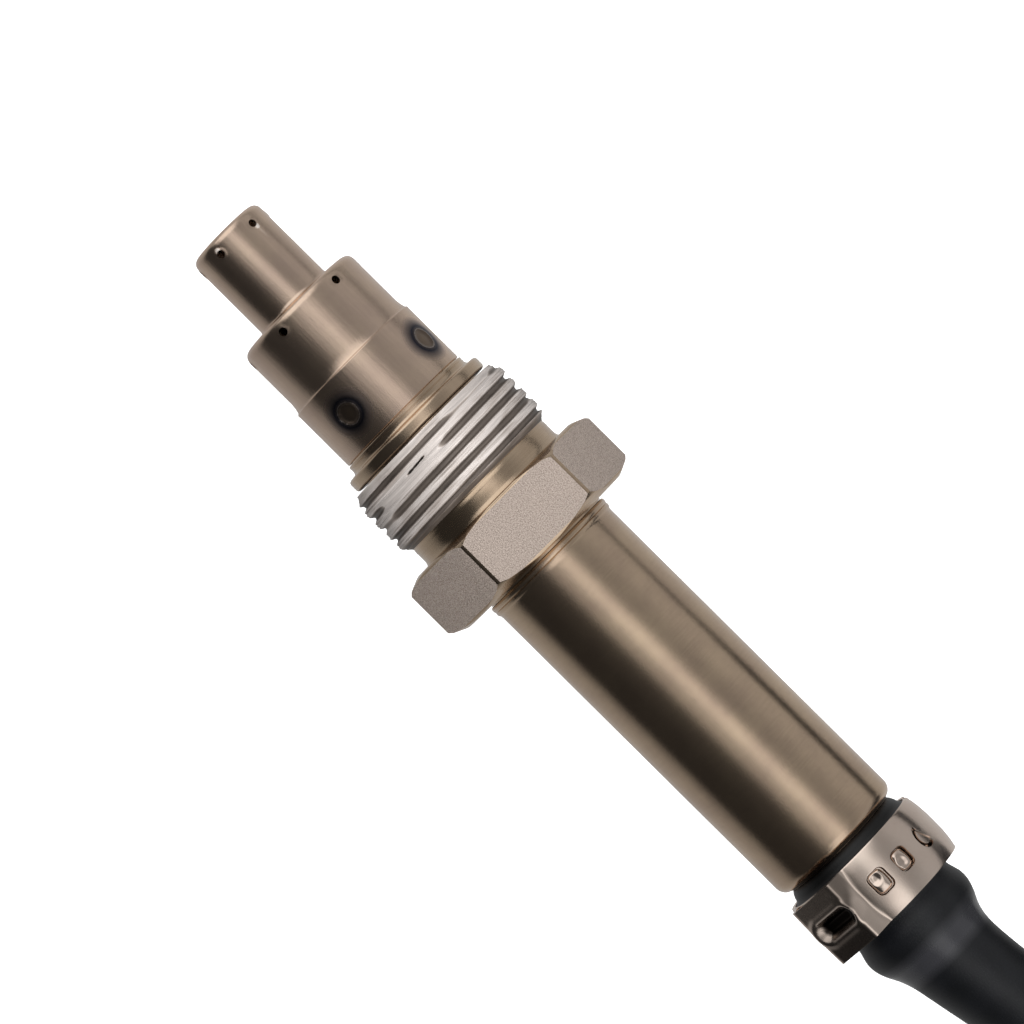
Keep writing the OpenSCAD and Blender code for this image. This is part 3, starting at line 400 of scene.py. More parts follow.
def stainless(name, grain_mm, tint, pale, rough, marks, streak, scorched=False, skin=0.30):
    """Drawn, turned or rolled stainless that heat has tinted brown: cloudy in colour, with marks that run
    one way. streak stretches them: a small share of X gives lines along the tube, a large one rings. skin
    is how rough the surface feels."""
    metal, tree, shader, here = material_for(name)
    clouds = add(tree, "TexNoise", {"Vector": here, "Scale": 0.22, "Detail": 6.0, "Roughness": 0.62})
    colour = add(tree, "ValToRGB", {"Fac": clouds, "stops": [(0.32, tint), (0.68, pale)]})
    stretched = add(tree, "Mapping", {"Vector": here, "Scale": streak})
    lines = add(tree, "TexNoise", {"Vector": stretched, "Scale": 1 / grain_mm, "Detail": 4.0})
    speck = add(tree, "TexNoise", {"Vector": here, "Scale": 7.0, "Detail": 4.0, "Roughness": 0.7})
    shade = add(tree, "MapRange", {"Value": lines, "From Min": 0.3, "From Max": 0.7,
                                   "To Min": 1 - marks, "To Max": 1.0})
    colour = add(tree, "Mix", {"data_type": "RGBA", "blend_type": "MULTIPLY", "Factor": 1.0,
                               6: colour, 7: shade}).outputs[2]
    gloss = add(tree, "MapRange", {"Value": speck, "From Min": 0.3, "From Max": 0.7,
                                   "To Min": rough - 0.03, "To Max": rough + 0.05})
    metallic = 1.0
    if scorched:
        # Round a spot weld the oxide is brown in the nugget and blue-black in a ring that fades outwards; a
        # thin pale ring on the weld's rim is a painted highlight
        heat = add(tree, "Attribute", {"attribute_name": "scorch"}).outputs["Fac"]
        ragged = add(tree, "MapRange", {"Value": speck, "To Min": -0.05, "To Max": 0.05})
        heat = add(tree, "Math", {"operation": "ADD", 0: heat, 1: ragged})
        oxide_and_rim_highlight = add(tree, "ValToRGB", {"Fac": heat, "stops": [
            (0.0, "#6d6874"), (0.3, "#3d3f4c"), (0.54, "#30313b"), (0.580, "#3c3b43"), (0.600, "#a79f9a"),
            (0.625, "#4b433d"), (1.0, "#61523f")]})
        cover_up = add(tree, "ValToRGB", {"Fac": heat, "stops": [
            (0.04, "#000000"), (0.28, "#d0d0d0"), (0.48, "#ffffff"), (0.7, "#e6e6e6")]})
        colour = add(tree, "Mix", {"data_type": "RGBA", 0: cover_up, 6: colour, 7: oxide_and_rim_highlight}).outputs[2]
        gloss = add(tree, "MapRange", {"Value": cover_up, "To Min": rough, "To Max": 0.38})
        # The torn lips: bare metal, painted pale and less metallic as a painted glint
        torn = add(tree, "Attribute", {"attribute_name": "torn"}).outputs["Fac"]
        colour = add(tree, "Mix", {"data_type": "RGBA", 0: torn, 6: colour, 7: linear("#cfc6be")}).outputs[2]
        metallic = add(tree, "MapRange", {"Value": torn, "To Min": 1.0, "To Max": 0.5})
    both = add(tree, "Math", {"operation": "MULTIPLY_ADD", 0: lines, 1: 0.8, 2: speck})
    relief = add(tree, "Bump", {"Height": both, "Strength": skin, "Distance": 0.00004})
    fit(tree, shader, {"Base Color": colour, "Roughness": gloss, "Normal": relief, "Metallic": metallic})
    return metal


cover_steel = stainless("drawn_stainless_heat_tinted", 0.4, "#d9c0ae", "#e7ceb7", 0.235, 0.05,
                        (0.05, 1.0, 1.0), scorched=True)
cover.data.materials.append(cover_steel)
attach(cover, "probe")
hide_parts("outer_cover")

# ---- Fitting -----------------------------------------------------------------
# The main fitting is turned from stainless bar: a collar, the flange that the nut pulls on its seat, a
# shank for the nut to turn on, and spigots for the covers in front and for the cylinder behind.
FLANGE_R, FLANGE_FRONT, FLANGE_REAR, SHANK_R, SHANK_REAR = 8.9, 5.5, 4.1, 7.6, -13.35
FLANGE_EDGE, SPIGOT_R, SPIGOT_END, STACK_R = 0.35, 5.4, -19.05, 4.6
fitting = spun(
    "fitting_body",
    [(3.2, 14.4), (5.6, 14.4), (5.61, 12.6), (7.26, 12.6), (7.26, 6.53), (7.74, 6.53), (7.8, 6.47),
     (7.8, 6.24), (7.77, 6.21), (7.77, 6.15), (7.8, 6.12)] + rounding(8.2, 5.9, 0.4, 180, 270, 5)
    + rounding(FLANGE_R - FLANGE_EDGE, FLANGE_FRONT - FLANGE_EDGE, FLANGE_EDGE, 90, 0, 6)
    + rounding(FLANGE_R - FLANGE_EDGE, FLANGE_REAR + FLANGE_EDGE, FLANGE_EDGE, 0, -90, 6)
    + [(SHANK_R, FLANGE_REAR), (SHANK_R, SHANK_REAR), (7.085, SHANK_REAR), (7.085, -17.05),
       (SPIGOT_R, -17.05), (SPIGOT_R, SPIGOT_END), (STACK_R, SPIGOT_END), (STACK_R, 8.1), (3.2, 8.8),
       (3.2, 14.4)])
smooth(fitting)
fitting_steel = stainless("turned_stainless_heat_tinted", 0.12, "#d0b79f", "#e0c8ac", 0.13, 0.08,
                          (1.0, 0.02, 0.02))
fitting.data.materials.append(fitting_steel)
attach(fitting, "probe")
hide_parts("main_fitting")

# ---- Union nut ---------------------------------------------------------------
# An M20 x 1.5 hollow nut in one piece with its hexagon, free to turn on the fitting's shank. The thread
# is rolled and worn bright, and the hexagon is as it left the forge, with a fine pebbled skin.
THREAD_R, THREAD_DEPTH, PITCH, NUT_BORE = 10.0, 0.46, 1.5, 7.66
NUT_FRONT, NECK_X, HEX_X, NUT_REAR, NECK_R, HEX_AF = 3.9, -3.9, -5.95, -13.15, 9.1, 22.0
CREST_X, CHAMFER, CHAMFER_X, RUNOUT_X = 0.75, 0.62, (2.7, 3.9), (2.75, 3.9)
# Where a turn was smeared flat: its place along X at 0 degrees, first and last angle, and how full it is
SMEARS = ((1.47, 3, 62, 1.0), (3.1, -58, -12, 0.55), (0.1, 60, 85, 0.7), (-1.4, -30, -4, 0.25),
          (1.5, 170, 230, 0.8), (-0.6, 250, 290, 0.6), (2.2, 120, 150, 0.5))
# A nick torn beside it: its place along X and its angle, at both ends
NICK = (1.90, 15.0, 1.76, 29.0)


def smeared(x, angle):
    """How much of the thread's root is filled at a place, from 0 to 1."""
    fill = 0.0
    for middle, first, last, amount in SMEARS:
        for a in (angle, angle + 360):
            off = abs(x - middle + PITCH * a / 360)
            fill = max(fill, amount * (1 - ease(0.35, 0.85, off)) * ease(first - 7, first + 5, a)
                       * (1 - ease(last - 5, last + 8, a)))
    return fill


def nicked(x, angle):
    """1 in the nick, 0 outside it."""
    if not NICK[1] - 2 < angle < NICK[3] + 2:
        return 0.0
    middle = NICK[0] + (NICK[2] - NICK[0]) * (angle - NICK[1]) / (NICK[3] - NICK[1])
    return (1 - ease(0.04, 0.13, abs(x - middle))) * ease(NICK[1] - 2, NICK[1] + 3, angle) * (
        1 - ease(NICK[3] - 2, NICK[3] + 2, angle))


def thread_radius(x, angle):
    """Radius of the worn thread at x, at an angle: rolled flanks under a chamfered, run-out bar."""
    turn_share = (x - CREST_X) / PITCH + angle / 360
    from_crest = abs(turn_share - round(turn_share)) * PITCH
    wander = noise.noise(Vector((x / 3, angle / 30, 1.0)))
    deep = THREAD_DEPTH * (1 - 0.75 * smeared(x, angle)) * (1 + 0.25 * wander)
    scored = 0.05 * (1 - ease(0.02, 0.09, abs(from_crest - 0.16)))
    flank = THREAD_R - deep * ease(0.28, 0.66, from_crest) - scored
    chamfer = THREAD_R - CHAMFER * ease(*CHAMFER_X, x)
    runout = THREAD_R - (THREAD_R - NECK_R) * ease(*RUNOUT_X, -x)
    torn = (0.06 * noise.noise(Vector((x * 3.1, angle / 22, 3.0)))
            + 0.05 * noise.noise(Vector((x * 7, angle / 60, 8.0))))
    return min(flank, chamfer, runout) - 0.04 + torn * ease(-3.9, -3.3, x) - 0.35 * nicked(x, angle)


thread = spun("nut_with_thread",
              [(NUT_BORE + 0.3, NUT_FRONT)] + rows([(9.3, NUT_FRONT), (9.3, NECK_X)], 0.055) + [
                  (NECK_R, NECK_X - 0.05), (NECK_R, -4.2), (NECK_R + 0.02, -4.25), (NECK_R + 0.02, -4.4),
                  (NECK_R, -4.45), (NECK_R, -5.5), (NECK_R + 0.06, -5.75), (NECK_R + 0.22, HEX_X - 0.1),
                  (NUT_BORE, HEX_X - 0.1), (NUT_BORE, NUT_FRONT - 0.3), (NUT_BORE + 0.3, NUT_FRONT)], 288)
for vertex in thread.data.vertices:
    spot = vertex.co / MM
    radius = math.hypot(spot.y, spot.z)
    if radius > 9.25 and NECK_X - 0.01 <= spot.x <= NUT_FRONT + 0.01:
        new = thread_radius(spot.x, math.degrees(math.atan2(spot.y, spot.z)))
        vertex.co.y *= new / radius
        vertex.co.z *= new / radius


def polish(x, y, z):
    """How bright the thread is painted: 1 on crests worn bright and on smears, 0 in the roots and the nick,
    which are painted dark as shade.
    """
    angle = math.degrees(math.atan2(y, z))
    r = math.hypot(y, z) + CHAMFER * ease(*CHAMFER_X, x) + CHAMFER * ease(*RUNOUT_X, -x)
    smear = smeared(x, angle)
    crest = 0.2 + 0.8 * ease(9.68, 9.97, r)
    return max(0.0, crest * (0.75 + 0.2 * smear) + 0.33 * smear - 2 * nicked(x, angle))


# Crests worn bright; the roots and the nick painted dark as shade
painted(thread, "polish", polish)
smooth(thread, 60)

# The hexagon: six flats with rounded corners, cut down to a bar with turned chamfers, and bored
bpy.ops.mesh.primitive_cylinder_add(vertices=6, radius=HEX_AF / 2 / math.cos(math.pi / 6) * MM,
                                    depth=(HEX_X - NUT_REAR) * MM)
hexagon = bpy.context.object
hexagon.data.transform(Matrix.Translation(((HEX_X + NUT_REAR) / 2 * MM, 0, 0))
                       @ Matrix.Rotation(math.pi / 2, 4, "Y"))
turned_blank = spun("turned_blank", [
    (0, NUT_REAR), (10.6, NUT_REAR), (10.9, NUT_REAR + 0.1), (12.2, NUT_REAR + 0.72), (12.6, NUT_REAR + 1.1),
    (12.95, -9.5), (12.6, HEX_X - 1.0), (12.2, HEX_X - 0.62), (10.9, HEX_X - 0.07), (10.6, HEX_X),
    (0, HEX_X)], 192)
worked(hexagon, "BEVEL", width=0.42 * MM, segments=4, limit_method="ANGLE", angle_limit=math.radians(50))
cut(hexagon, [turned_blank], "INTERSECT")
bpy.ops.mesh.primitive_cylinder_add(vertices=160, radius=NUT_BORE * MM, depth=20 * MM,
                                    location=(-9 * MM, 0, 0), rotation=(0, math.pi / 2, 0))
bpy.ops.object.transform_apply(location=True, rotation=True, scale=True)
cut(hexagon, [bpy.context.object])
worked(hexagon, "BEVEL", width=0.09 * MM, segments=2, limit_method="ANGLE", angle_limit=math.radians(14))
smooth(hexagon, 25)

# Rolled steel thread: silver and scored along its turns, white where it smeared, painted dark brown in the
# roots as shade
rolled, tree, shader, here = material_for("rolled_steel_thread")
wear_and_shade_level = add(tree, "Attribute", {"attribute_name": "polish"}).outputs["Fac"]
drawn_out = add(tree, "Mapping", {"Vector": here, "Scale": (4.0, 0.12, 0.12)})
scores = add(tree, "TexNoise", {"Vector": drawn_out, "Scale": 1.5, "Detail": 5.0})
broad = add(tree, "Mapping", {"Vector": here, "Scale": (1.0, 0.3, 0.3)})
patches = add(tree, "TexNoise", {"Vector": broad, "Scale": 0.8, "Detail": 4.0})
uneven = add(tree, "MapRange", {"Value": patches, "From Min": 0.3, "From Max": 0.7,
                                "To Min": -0.09, "To Max": 0.09})
level = add(tree, "Math", {"operation": "ADD", 0: wear_and_shade_level, 1: uneven})
metal = add(tree, "ValToRGB", {"Fac": level, "stops": [
    (0.0, "#2a2623"), (0.12, "#5a524c"), (0.29, "#665d56"), (0.45, "#877d76"), (0.66, "#aaa099"),
    (0.78, "#c8c0bb"), (1.0, "#bbb3ae")]})
streaked = add(tree, "MapRange", {"Value": scores, "From Min": 0.32, "From Max": 0.68,
                                  "To Min": 0.7, "To Max": 1.0})
colour = add(tree, "Mix", {"data_type": "RGBA", "blend_type": "MULTIPLY", "Factor": 1.0,
                           6: metal, 7: streaked})
relief = add(tree, "Bump", {"Height": scores, "Strength": 0.5, "Distance": 0.00004})
fit(tree, shader, {"Base Color": colour.outputs[2], "Normal": relief, "Metallic": 0.30, "Roughness": 0.45})

# Forged and blasted steel: grey taupe, pebbled all over at about an eighth of a millimetre
forged, tree, shader, here = material_for("forged_steel_hexagon")
pebbles = add(tree, "TexNoise", {"Vector": here, "Scale": 8.0, "Detail": 2.0, "Roughness": 0.5})
tone = add(tree, "ValToRGB", {"Fac": pebbles, "stops": [(0.36, "#92857c"), (0.62, "#baaca2")]})
relief = add(tree, "Bump", {"Height": pebbles, "Strength": 1.0, "Distance": 0.00013})
fit(tree, shader, {"Base Color": tone, "Normal": relief, "Metallic": 0.5, "Roughness": 0.72})
neck_steel = stainless("turned_steel_neck", 0.12, "#cbb298", "#dcc4a9", 0.15, 0.10, (1.0, 0.02, 0.02))
thread.data.materials.append(rolled)
thread.data.materials.append(neck_steel)
for face in thread.data.polygons:
    from_axis = math.hypot(face.center.y, face.center.z)
    face.material_index = int(face.center.x < -3.72 * MM or from_axis < 8.2 * MM)
hexagon.data.materials.append(forged)
hexagon.data.materials.append(neck_steel)
# The rounded corners, the turned chamfers and the ends are smooth; only the six flats are pebbled
for face in hexagon.data.polygons:
    radial = math.hypot(face.normal.y, face.normal.z)
    off_flat = (math.degrees(math.atan2(face.normal.y, face.normal.z)) + 30) % 60 - 30
    from_axis = math.hypot(face.center.y, face.center.z)
    face.material_index = int(radial < 0.97 or abs(off_flat) > 8 or from_axis < 10 * MM)
choose(hexagon, thread)
bpy.ops.object.join()
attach(thread, "nut")
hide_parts("union_nut")

# ---- Outer sleeve ------------------------------------------------------------
# A long tube of 0.5 mm stainless over the contacts and wires. Its front edge is rolled into a bead
# behind the nut and welded to the fitting, and its rear is spun down to a neck for the boot.
SLEEVE_R, SLEEVE_BORE, SLEEVE_FRONT, SHOULDER = 7.625, 7.125, -13.39, 1.3
SLEEVE_NECK_R, NECK_BORE, SHOULDER_X, SLEEVE_END = 5.9, 5.4, -54.45, -62.45
sleeve = spun(
    "sleeve_tube",
    [(SLEEVE_BORE, SLEEVE_FRONT), (7.6, SLEEVE_FRONT), (7.78, -13.46), (7.85, -13.6), (7.85, -13.84),
     (7.81, -13.97), (7.76, -14.04), (7.80, -14.11), (7.82, -14.24), (7.80, -14.42), (7.71, -14.56),
     (7.64, -14.68), (SLEEVE_R, -14.9)]
    + rows([(SLEEVE_R, -14.9), (SLEEVE_R, -53.1)], 2.5)[1:]
    + rounding(SLEEVE_R - SHOULDER, -53.15, SHOULDER, 0, -55, 9)[1:]
    + [(6.95, -54.26), (6.82, -54.31), (6.76, -54.36), (6.66, -54.38), (6.6, SHOULDER_X),
       (SLEEVE_NECK_R, SHOULDER_X), (SLEEVE_NECK_R, SLEEVE_END), (NECK_BORE, SLEEVE_END), (NECK_BORE, -53.95),
       (6.1, -53.95), (7.0, -53.4), (SLEEVE_BORE, -53.0), (SLEEVE_BORE, SLEEVE_FRONT)], 192)
smooth(sleeve)
sleeve_steel = stainless("welded_stainless_tube_heat_tinted", 0.14, "#cfb69f", "#dfc6aa", 0.155, 0.06,
                         (1.0, 0.05, 0.05))
sleeve.data.materials.append(sleeve_steel)
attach(sleeve, "probe")
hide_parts("outer_sleeve")

# ---- Ear clamp ---------------------------------------------------------------
# One stainless strip, 7 mm wide, wound almost twice round the boot. Hooks of the inner layer lock in
# windows of the outer one, and pincers have closed the ear, which a long dimple stiffens.
BAND_X, BAND_W, STRIP_T, BAND_R = -59.3, 7.0, 0.35, 8.34
# The ear's middle, its height from the axis, and its half width below and above, with where its flanks start
EAR_TURN, EAR_TOP, EAR_HALF, EAR_HALF_ABOVE = 49.0, 9.05, 2.75, 3.35
EAR_FROM, EAR_TO, BAND_FROM, BAND_TO = 19.6, 76.9, -78.0, 262.0
DIMPLE_ALONG, DIMPLE_HALF, DIMPLE_DEPTH, DIMPLE_RIM = -0.55, 1.7, 0.9, 0.15
SPREAD = (-1.2, -0.6, 0, 0.6, 1.2)
# Angle of each window, its length and its hook's, their breadth, and where the hook's punch slipped to
WINDOWS = ((3.0, 2.6, 2.55, 2.2, 0.5), (-19.0, 2.45, 2.4, 2.0, -0.15))
HOOK_HIGH, TONGUE_TURN = 0.80, -45


def band_radius(angle):
    """Radius of the outer layer at an angle: round, with the ear's flat top and its two flanks."""
    from_ear = math.radians(angle - EAR_TURN)
    if not EAR_FROM < angle < EAR_TO:
        return BAND_R
    half = EAR_HALF if from_ear > 0 else EAR_HALF_ABOVE
    corner = math.atan2(half, EAR_TOP)
    if abs(from_ear) <= corner:
        return EAR_TOP / math.cos(from_ear)
    high = math.hypot(half, EAR_TOP)
    foot = math.radians(EAR_TO - EAR_TURN if from_ear > 0 else EAR_TURN - EAR_FROM)
    return high + (BAND_R - high) * (abs(from_ear) - corner) / (foot - corner)


def wrap(name, first, last, radius, width, thickness, steps, cells):
    """A strip bent round the axis from a flat grid, with radius(angle, x) for its outside, then thickened
    inwards."""
    bpy.ops.mesh.primitive_grid_add(x_subdivisions=cells, y_subdivisions=steps, size=1)
    strip = bpy.context.object
    strip.name = strip.data.name = name
    for vertex in strip.data.vertices:
        x, angle = vertex.co.x * width, first + (vertex.co.y + 0.5) * (last - first)
        r, a = radius(angle, x), math.radians(angle)
        vertex.co = Vector((BAND_X + x, r * math.sin(a), r * math.cos(a))) * MM
    worked(strip, "SOLIDIFY", thickness=thickness * MM, offset=-1)
    return strip


def crowned(x):
    """How far the band falls away towards its two edges."""
    return -0.34 * (abs(x) / (BAND_W / 2)) ** 2.6


def pressed(angle, x):
    """The outer layer's radius with its crowned width, and the dimple across the ear and into its flank."""
    r = sum(band_radius(angle + step) for step in SPREAD) / len(SPREAD)
    near_ear = ease(EAR_FROM - 3, EAR_FROM + 1, angle) * (1 - ease(EAR_TO - 1, EAR_TO + 3, angle))
    crown = crowned(x) * (1 - 0.8 * near_ear)
    along = r * math.radians(angle - EAR_TURN)
    if EAR_FROM - 5 < angle < EAR_TO + 5:
        off = math.hypot(max(0.0, abs(along - DIMPLE_ALONG) - DIMPLE_HALF), x)
        rim = ease(1.0, 1.4, off) * (1 - ease(1.45, 2.1, off))
        crown += -DIMPLE_DEPTH * (1 - ease(0.3, 1.3, off)) + DIMPLE_RIM * rim
    return r + crown


outer = wrap("clamp_strip", BAND_FROM, BAND_TO, pressed, BAND_W, STRIP_T, 420, 44)
under = wrap("inner_layer", 0, 359.99, lambda angle, x: BAND_R - STRIP_T - 0.28 + min(0, crowned(x) + 0.25),
             BAND_W - 0.04, 0.06, 180, 12)


def block(length, breadth, high):
    """A block of this size round the origin."""
    bpy.ops.mesh.primitive_cube_add(size=1)
    bpy.context.object.data.transform(Matrix.Diagonal((length * MM, breadth * MM, high * MM, 1)))
    return bpy.context.object


openings = []
for angle, length, _, breadth, _ in WINDOWS:
    window = block(length, breadth, 1.4)
    worked(window, "BEVEL", width=0.64 * MM, segments=5)
    window.data.transform(about(BAND_X, angle, BAND_R))
    openings.append(window)
# The slit of the tongue is a U: a thin round blade with its middle left standing
bpy.ops.mesh.primitive_torus_add(major_segments=40, minor_segments=8, major_radius=0.92 * MM,
                                 minor_radius=0.17 * MM)
slit = bpy.context.object
slit.data.transform(Matrix.Diagonal((1.25, 1.0, 4.0, 1)))
bpy.ops.object.mode_set(mode="EDIT")
bpy.ops.mesh.select_all(action="SELECT")
bpy.ops.mesh.bisect(plane_co=(0, -0.25 * MM, 0), plane_no=(-0.35, 1, 0), use_fill=True, clear_inner=True)
bpy.ops.object.mode_set(mode="OBJECT")
slit.data.transform(about(BAND_X, TONGUE_TURN, BAND_R))
openings.append(slit)
cut(outer, openings)


def grime(x, y, z):
    """How much painted shade the strip takes: black in the dimple, less on the ear towards its rear and
    on the front of its upper flank, nothing elsewhere."""
    angle, r = math.degrees(math.atan2(y, z)), math.hypot(y, z)
    if not EAR_FROM < angle < EAR_TO:
        return 0.0
    along = r * math.sin(math.radians(angle - EAR_TURN))
    past_corner = -along - EAR_HALF_ABOVE
    on_ear = ease(0.0, 0.5, EAR_HALF - along) * ease(0.0, 0.4, ease(-2.0, 3.0, x - BAND_X) - past_corner)
    on_face = (0.12 + 0.6 * ease(-2.5, 2.8, BAND_X - x) + 0.45 * ease(-0.3, 0.3, past_corner)) * on_ear
    in_dimple = ease(0.28, 0.62, band_radius(angle) - r) * ease(0.1, 0.5, 1.9 - abs(x - BAND_X))
    return max(on_face, in_dimple)


# Painted shade on the ear's face and in its dimple
painted(outer, "grime", grime)
# The hooks: tabs of the inner layer, pressed up into domes that fill their windows
hooks = []
for angle, _, length, breadth, slip in WINDOWS:
    hook = block(length, breadth, HOOK_HIGH)
    for vertex in hook.data.vertices:
        if vertex.co.z > 0:
            vertex.co.x = vertex.co.x * 0.80 + 0.05 * MM
            vertex.co.y = vertex.co.y * 0.62 + 0.16 * MM
    worked(hook, "BEVEL", width=0.30 * MM, segments=1)
    worked(hook, "SUBSURF", levels=3)
    # A hollow in one side of each, where the punch has slipped
    for vertex in hook.data.vertices:
        spot = vertex.co / MM
        if spot.z > 0:
            vertex.co.z -= 0.30 * MM * (1 - ease(0.15, 0.85, math.dist((spot.x, spot.y), (slip, 0.25))))
    hook.data.transform(about(BAND_X, angle, BAND_R + 0.14 - HOOK_HIGH / 2))
    hooks.append(hook)
# The tongue's ridge, raised from the middle of its U
ridge = block(1.9, 0.5, 0.5)
for vertex in ridge.data.vertices:
    if vertex.co.z > 0:
        vertex.co.y *= 0.2
    if vertex.co.x < 0:
        vertex.co.y *= 0.3
ridge.data.transform(about(BAND_X + 0.1, -46, BAND_R - 0.12) @ Matrix.Rotation(math.radians(28), 4, "Z"))
hooks.append(ridge)
choose(*hooks, under, outer)
bpy.ops.object.join()
clamp = bpy.context.object
# The strip's sheared edges are tumbled round
worked(clamp, "BEVEL", width=0.05 * MM, segments=2, limit_method="ANGLE", angle_limit=math.radians(55))
smooth(clamp, 40)
# Cold rolling leaves the strip smoother than the turned and drawn pieces; the ear and its dimple are painted
# dark as shade
strip_steel = stainless("rolled_stainless_strip", 0.10, "#e6d3c5", "#f0dfd1", 0.185, 0.05, (8.0, 0.3, 0.3),
                        skin=0.10)
clamp.data.materials.append(strip_steel)
tree, shader = strip_steel.node_tree, strip_steel.node_tree.nodes["Principled BSDF"]
bare = shader.inputs["Base Color"].links[0].from_socket
ear_shade_attribute = add(tree, "Attribute", {"attribute_name": "grime"})
shaded_strip_colour = add(tree, "Mix", {"data_type": "RGBA", 0: ear_shade_attribute.outputs["Fac"], 6: bare, 7: linear("#2b2622")})
fit(tree, shader, {"Base Color": shaded_strip_colour.outputs[2]})
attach(clamp, "probe")
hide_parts("ear_clamp")

# ---- Boot --------------------------------------------------------------------
# Moulded silicone rubber, pushed over the sleeve's neck and squeezed by the clamp. It bulges behind the
# clamp, where the rubber has nowhere else to go, and tapers to a tail that bends with the cable.
BOOT_LINE = [(6.55, -54.52), (6.78, -54.8), (6.98, -55.2), (7.1, -55.6), (7.6, -56.1), (7.6, -62.5),
             (6.32, -62.85), (6.18, -63.2), (6.2, -63.5), (6.33, -64.0), (6.52, -64.5), (6.63, -65.0),
             (6.64, -65.6), (6.55, -66.2), (6.36, -66.8), (6.09, -67.4), (5.82, -67.9), (5.58, -68.4),
             (5.38, -68.95), (5.22, -69.5), (5.1, -70.2), (5.0, -71.1), (4.92, -72.5), (4.85, -74),
             (4.76, -76), (4.68, -78), (4.6, -80), (4.52, -82), (4.5, -83.6), (4.4, -83.9), (4.2, -84.0)]
BOOT_BORE = [(3.72, -84), (3.72, -68.5), (5.95, -62.9), (5.95, -54.52), (6.55, -54.52)]
BEND = [(-68, 0, 0), (-70, -0.1, -0.1), (-73, -0.5, -0.6), (-76, -1, -1.2), (-80, -1.6, -2.1),
        (-84, -2.2, -3.1)]
BULGE_X, ROUNDS = -63.4, 4
boot_line = rows(BOOT_LINE, 0.35)
for _ in range(ROUNDS):
    boot_line[1:-1] = [((a[0] + 2 * b[0] + c[0]) / 4, b[1]) if b[1] < BULGE_X else b
                       for a, b, c in zip(boot_line, boot_line[1:], boot_line[2:])]
boot = spun("boot_skin", boot_line + BOOT_BORE, 112)


def bent(x):
    """Where the tail's middle lies at x, in y and z."""
    for (x0, y0, z0), (x1, y1, z1) in zip(BEND, BEND[1:]):
        if x >= x1:
            share = min(max((x0 - x) / (x0 - x1), 0), 1)
            return y0 + (y1 - y0) * share, z0 + (z1 - z0) * share
    return BEND[-1][1:]


for vertex in boot.data.vertices:
    x = vertex.co.x / MM
    ways = [bent(x + step) for step in SPREAD]
    vertex.co.y += sum(way[0] for way in ways) / len(SPREAD) * MM
    vertex.co.z += sum(way[1] for way in ways) / len(SPREAD) * MM
smooth(boot, 40)
# Silicone rubber: black, with the dull skin of its mould
silicone, tree, shader, here = material_for("moulded_silicone_rubber")
cloud = add(tree, "TexNoise", {"Vector": here, "Scale": 0.35, "Detail": 5.0})
tone = add(tree, "ValToRGB", {"Fac": cloud, "stops": [(0.3, "#060709"), (0.72, "#0c0d10")]})
fine = add(tree, "TexNoise", {"Vector": here, "Scale": 5.0, "Detail": 4.0})
# The hollow behind the bulge is smoother, with a painted grey highlight in its colour, and the lip by the
# sleeve is painted black as shade
along = add(tree, "SeparateXYZ", {0: here}).outputs["X"]
share = add(tree, "MapRange", {"Value": along, "From Min": -75.0, "From Max": -55.0})
hollow = add(tree, "ValToRGB", {"Fac": share, "stops": [
    (0.23, "#000000"), (0.29, "#ffffff"), (0.36, "#ffffff"), (0.43, "#000000")]})
# Painted shade: the lip's colour is darkened
lip_painted_shade = add(tree, "ValToRGB", {"Fac": share, "stops": [(0.935, "#ffffff"), (0.965, "#303030")]})
dull = add(tree, "MapRange", {"Value": hollow, "To Min": 0.46, "To Max": 0.22})
# Painted highlight: the hollow's colour is lifted towards grey
hollow_painted_sheen = add(tree, "Math", {"operation": "MULTIPLY", 0: hollow, 1: 0.8})
tone = add(tree, "Mix", {"data_type": "RGBA", 0: hollow_painted_sheen, 6: tone, 7: linear("#2c2c2f")})
tone = add(tree, "Mix", {"data_type": "RGBA", "blend_type": "MULTIPLY", "Factor": 1.0,
                         6: tone.outputs[2], 7: lip_painted_shade})
relief = add(tree, "Bump", {"Height": fine, "Strength": 0.25, "Distance": 0.00006})
fit(tree, shader, {"Base Color": tone.outputs[2], "Roughness": dull, "Normal": relief})
boot.data.materials.append(silicone)
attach(boot, "probe")
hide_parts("boot")

# ---- Inner covers ------------------------------------------------------------
# Two cups of 0.3 mm stainless sheet inside the outer cover, one on the fitting's spigot and one that
# leans on the cover's front face. They turn the gas on its way to the element.


def dressed(names, material):
    """Gives the CAD shapes of some nodes a material."""
    for name in names:
        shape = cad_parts[name]
        if not shape.material_slots:
            shape.data.materials.append(material)
        for slot in shape.material_slots:
            slot.material = material


inner_steel = stainless("drawn_stainless_inner_covers", 0.3, "#c2b4a4", "#d2c5b4", 0.24, 0.08,
                        (0.05, 1.0, 1.0))
dressed(["first_inner_cover", "second_inner_cover"], inner_steel)

# ---- Sensor element ----------------------------------------------------------
# A strip of zirconia layers fired together, 4.2 mm wide and 1.45 mm thick, with a porous white
# protective coat over its working end and printed leads inside.


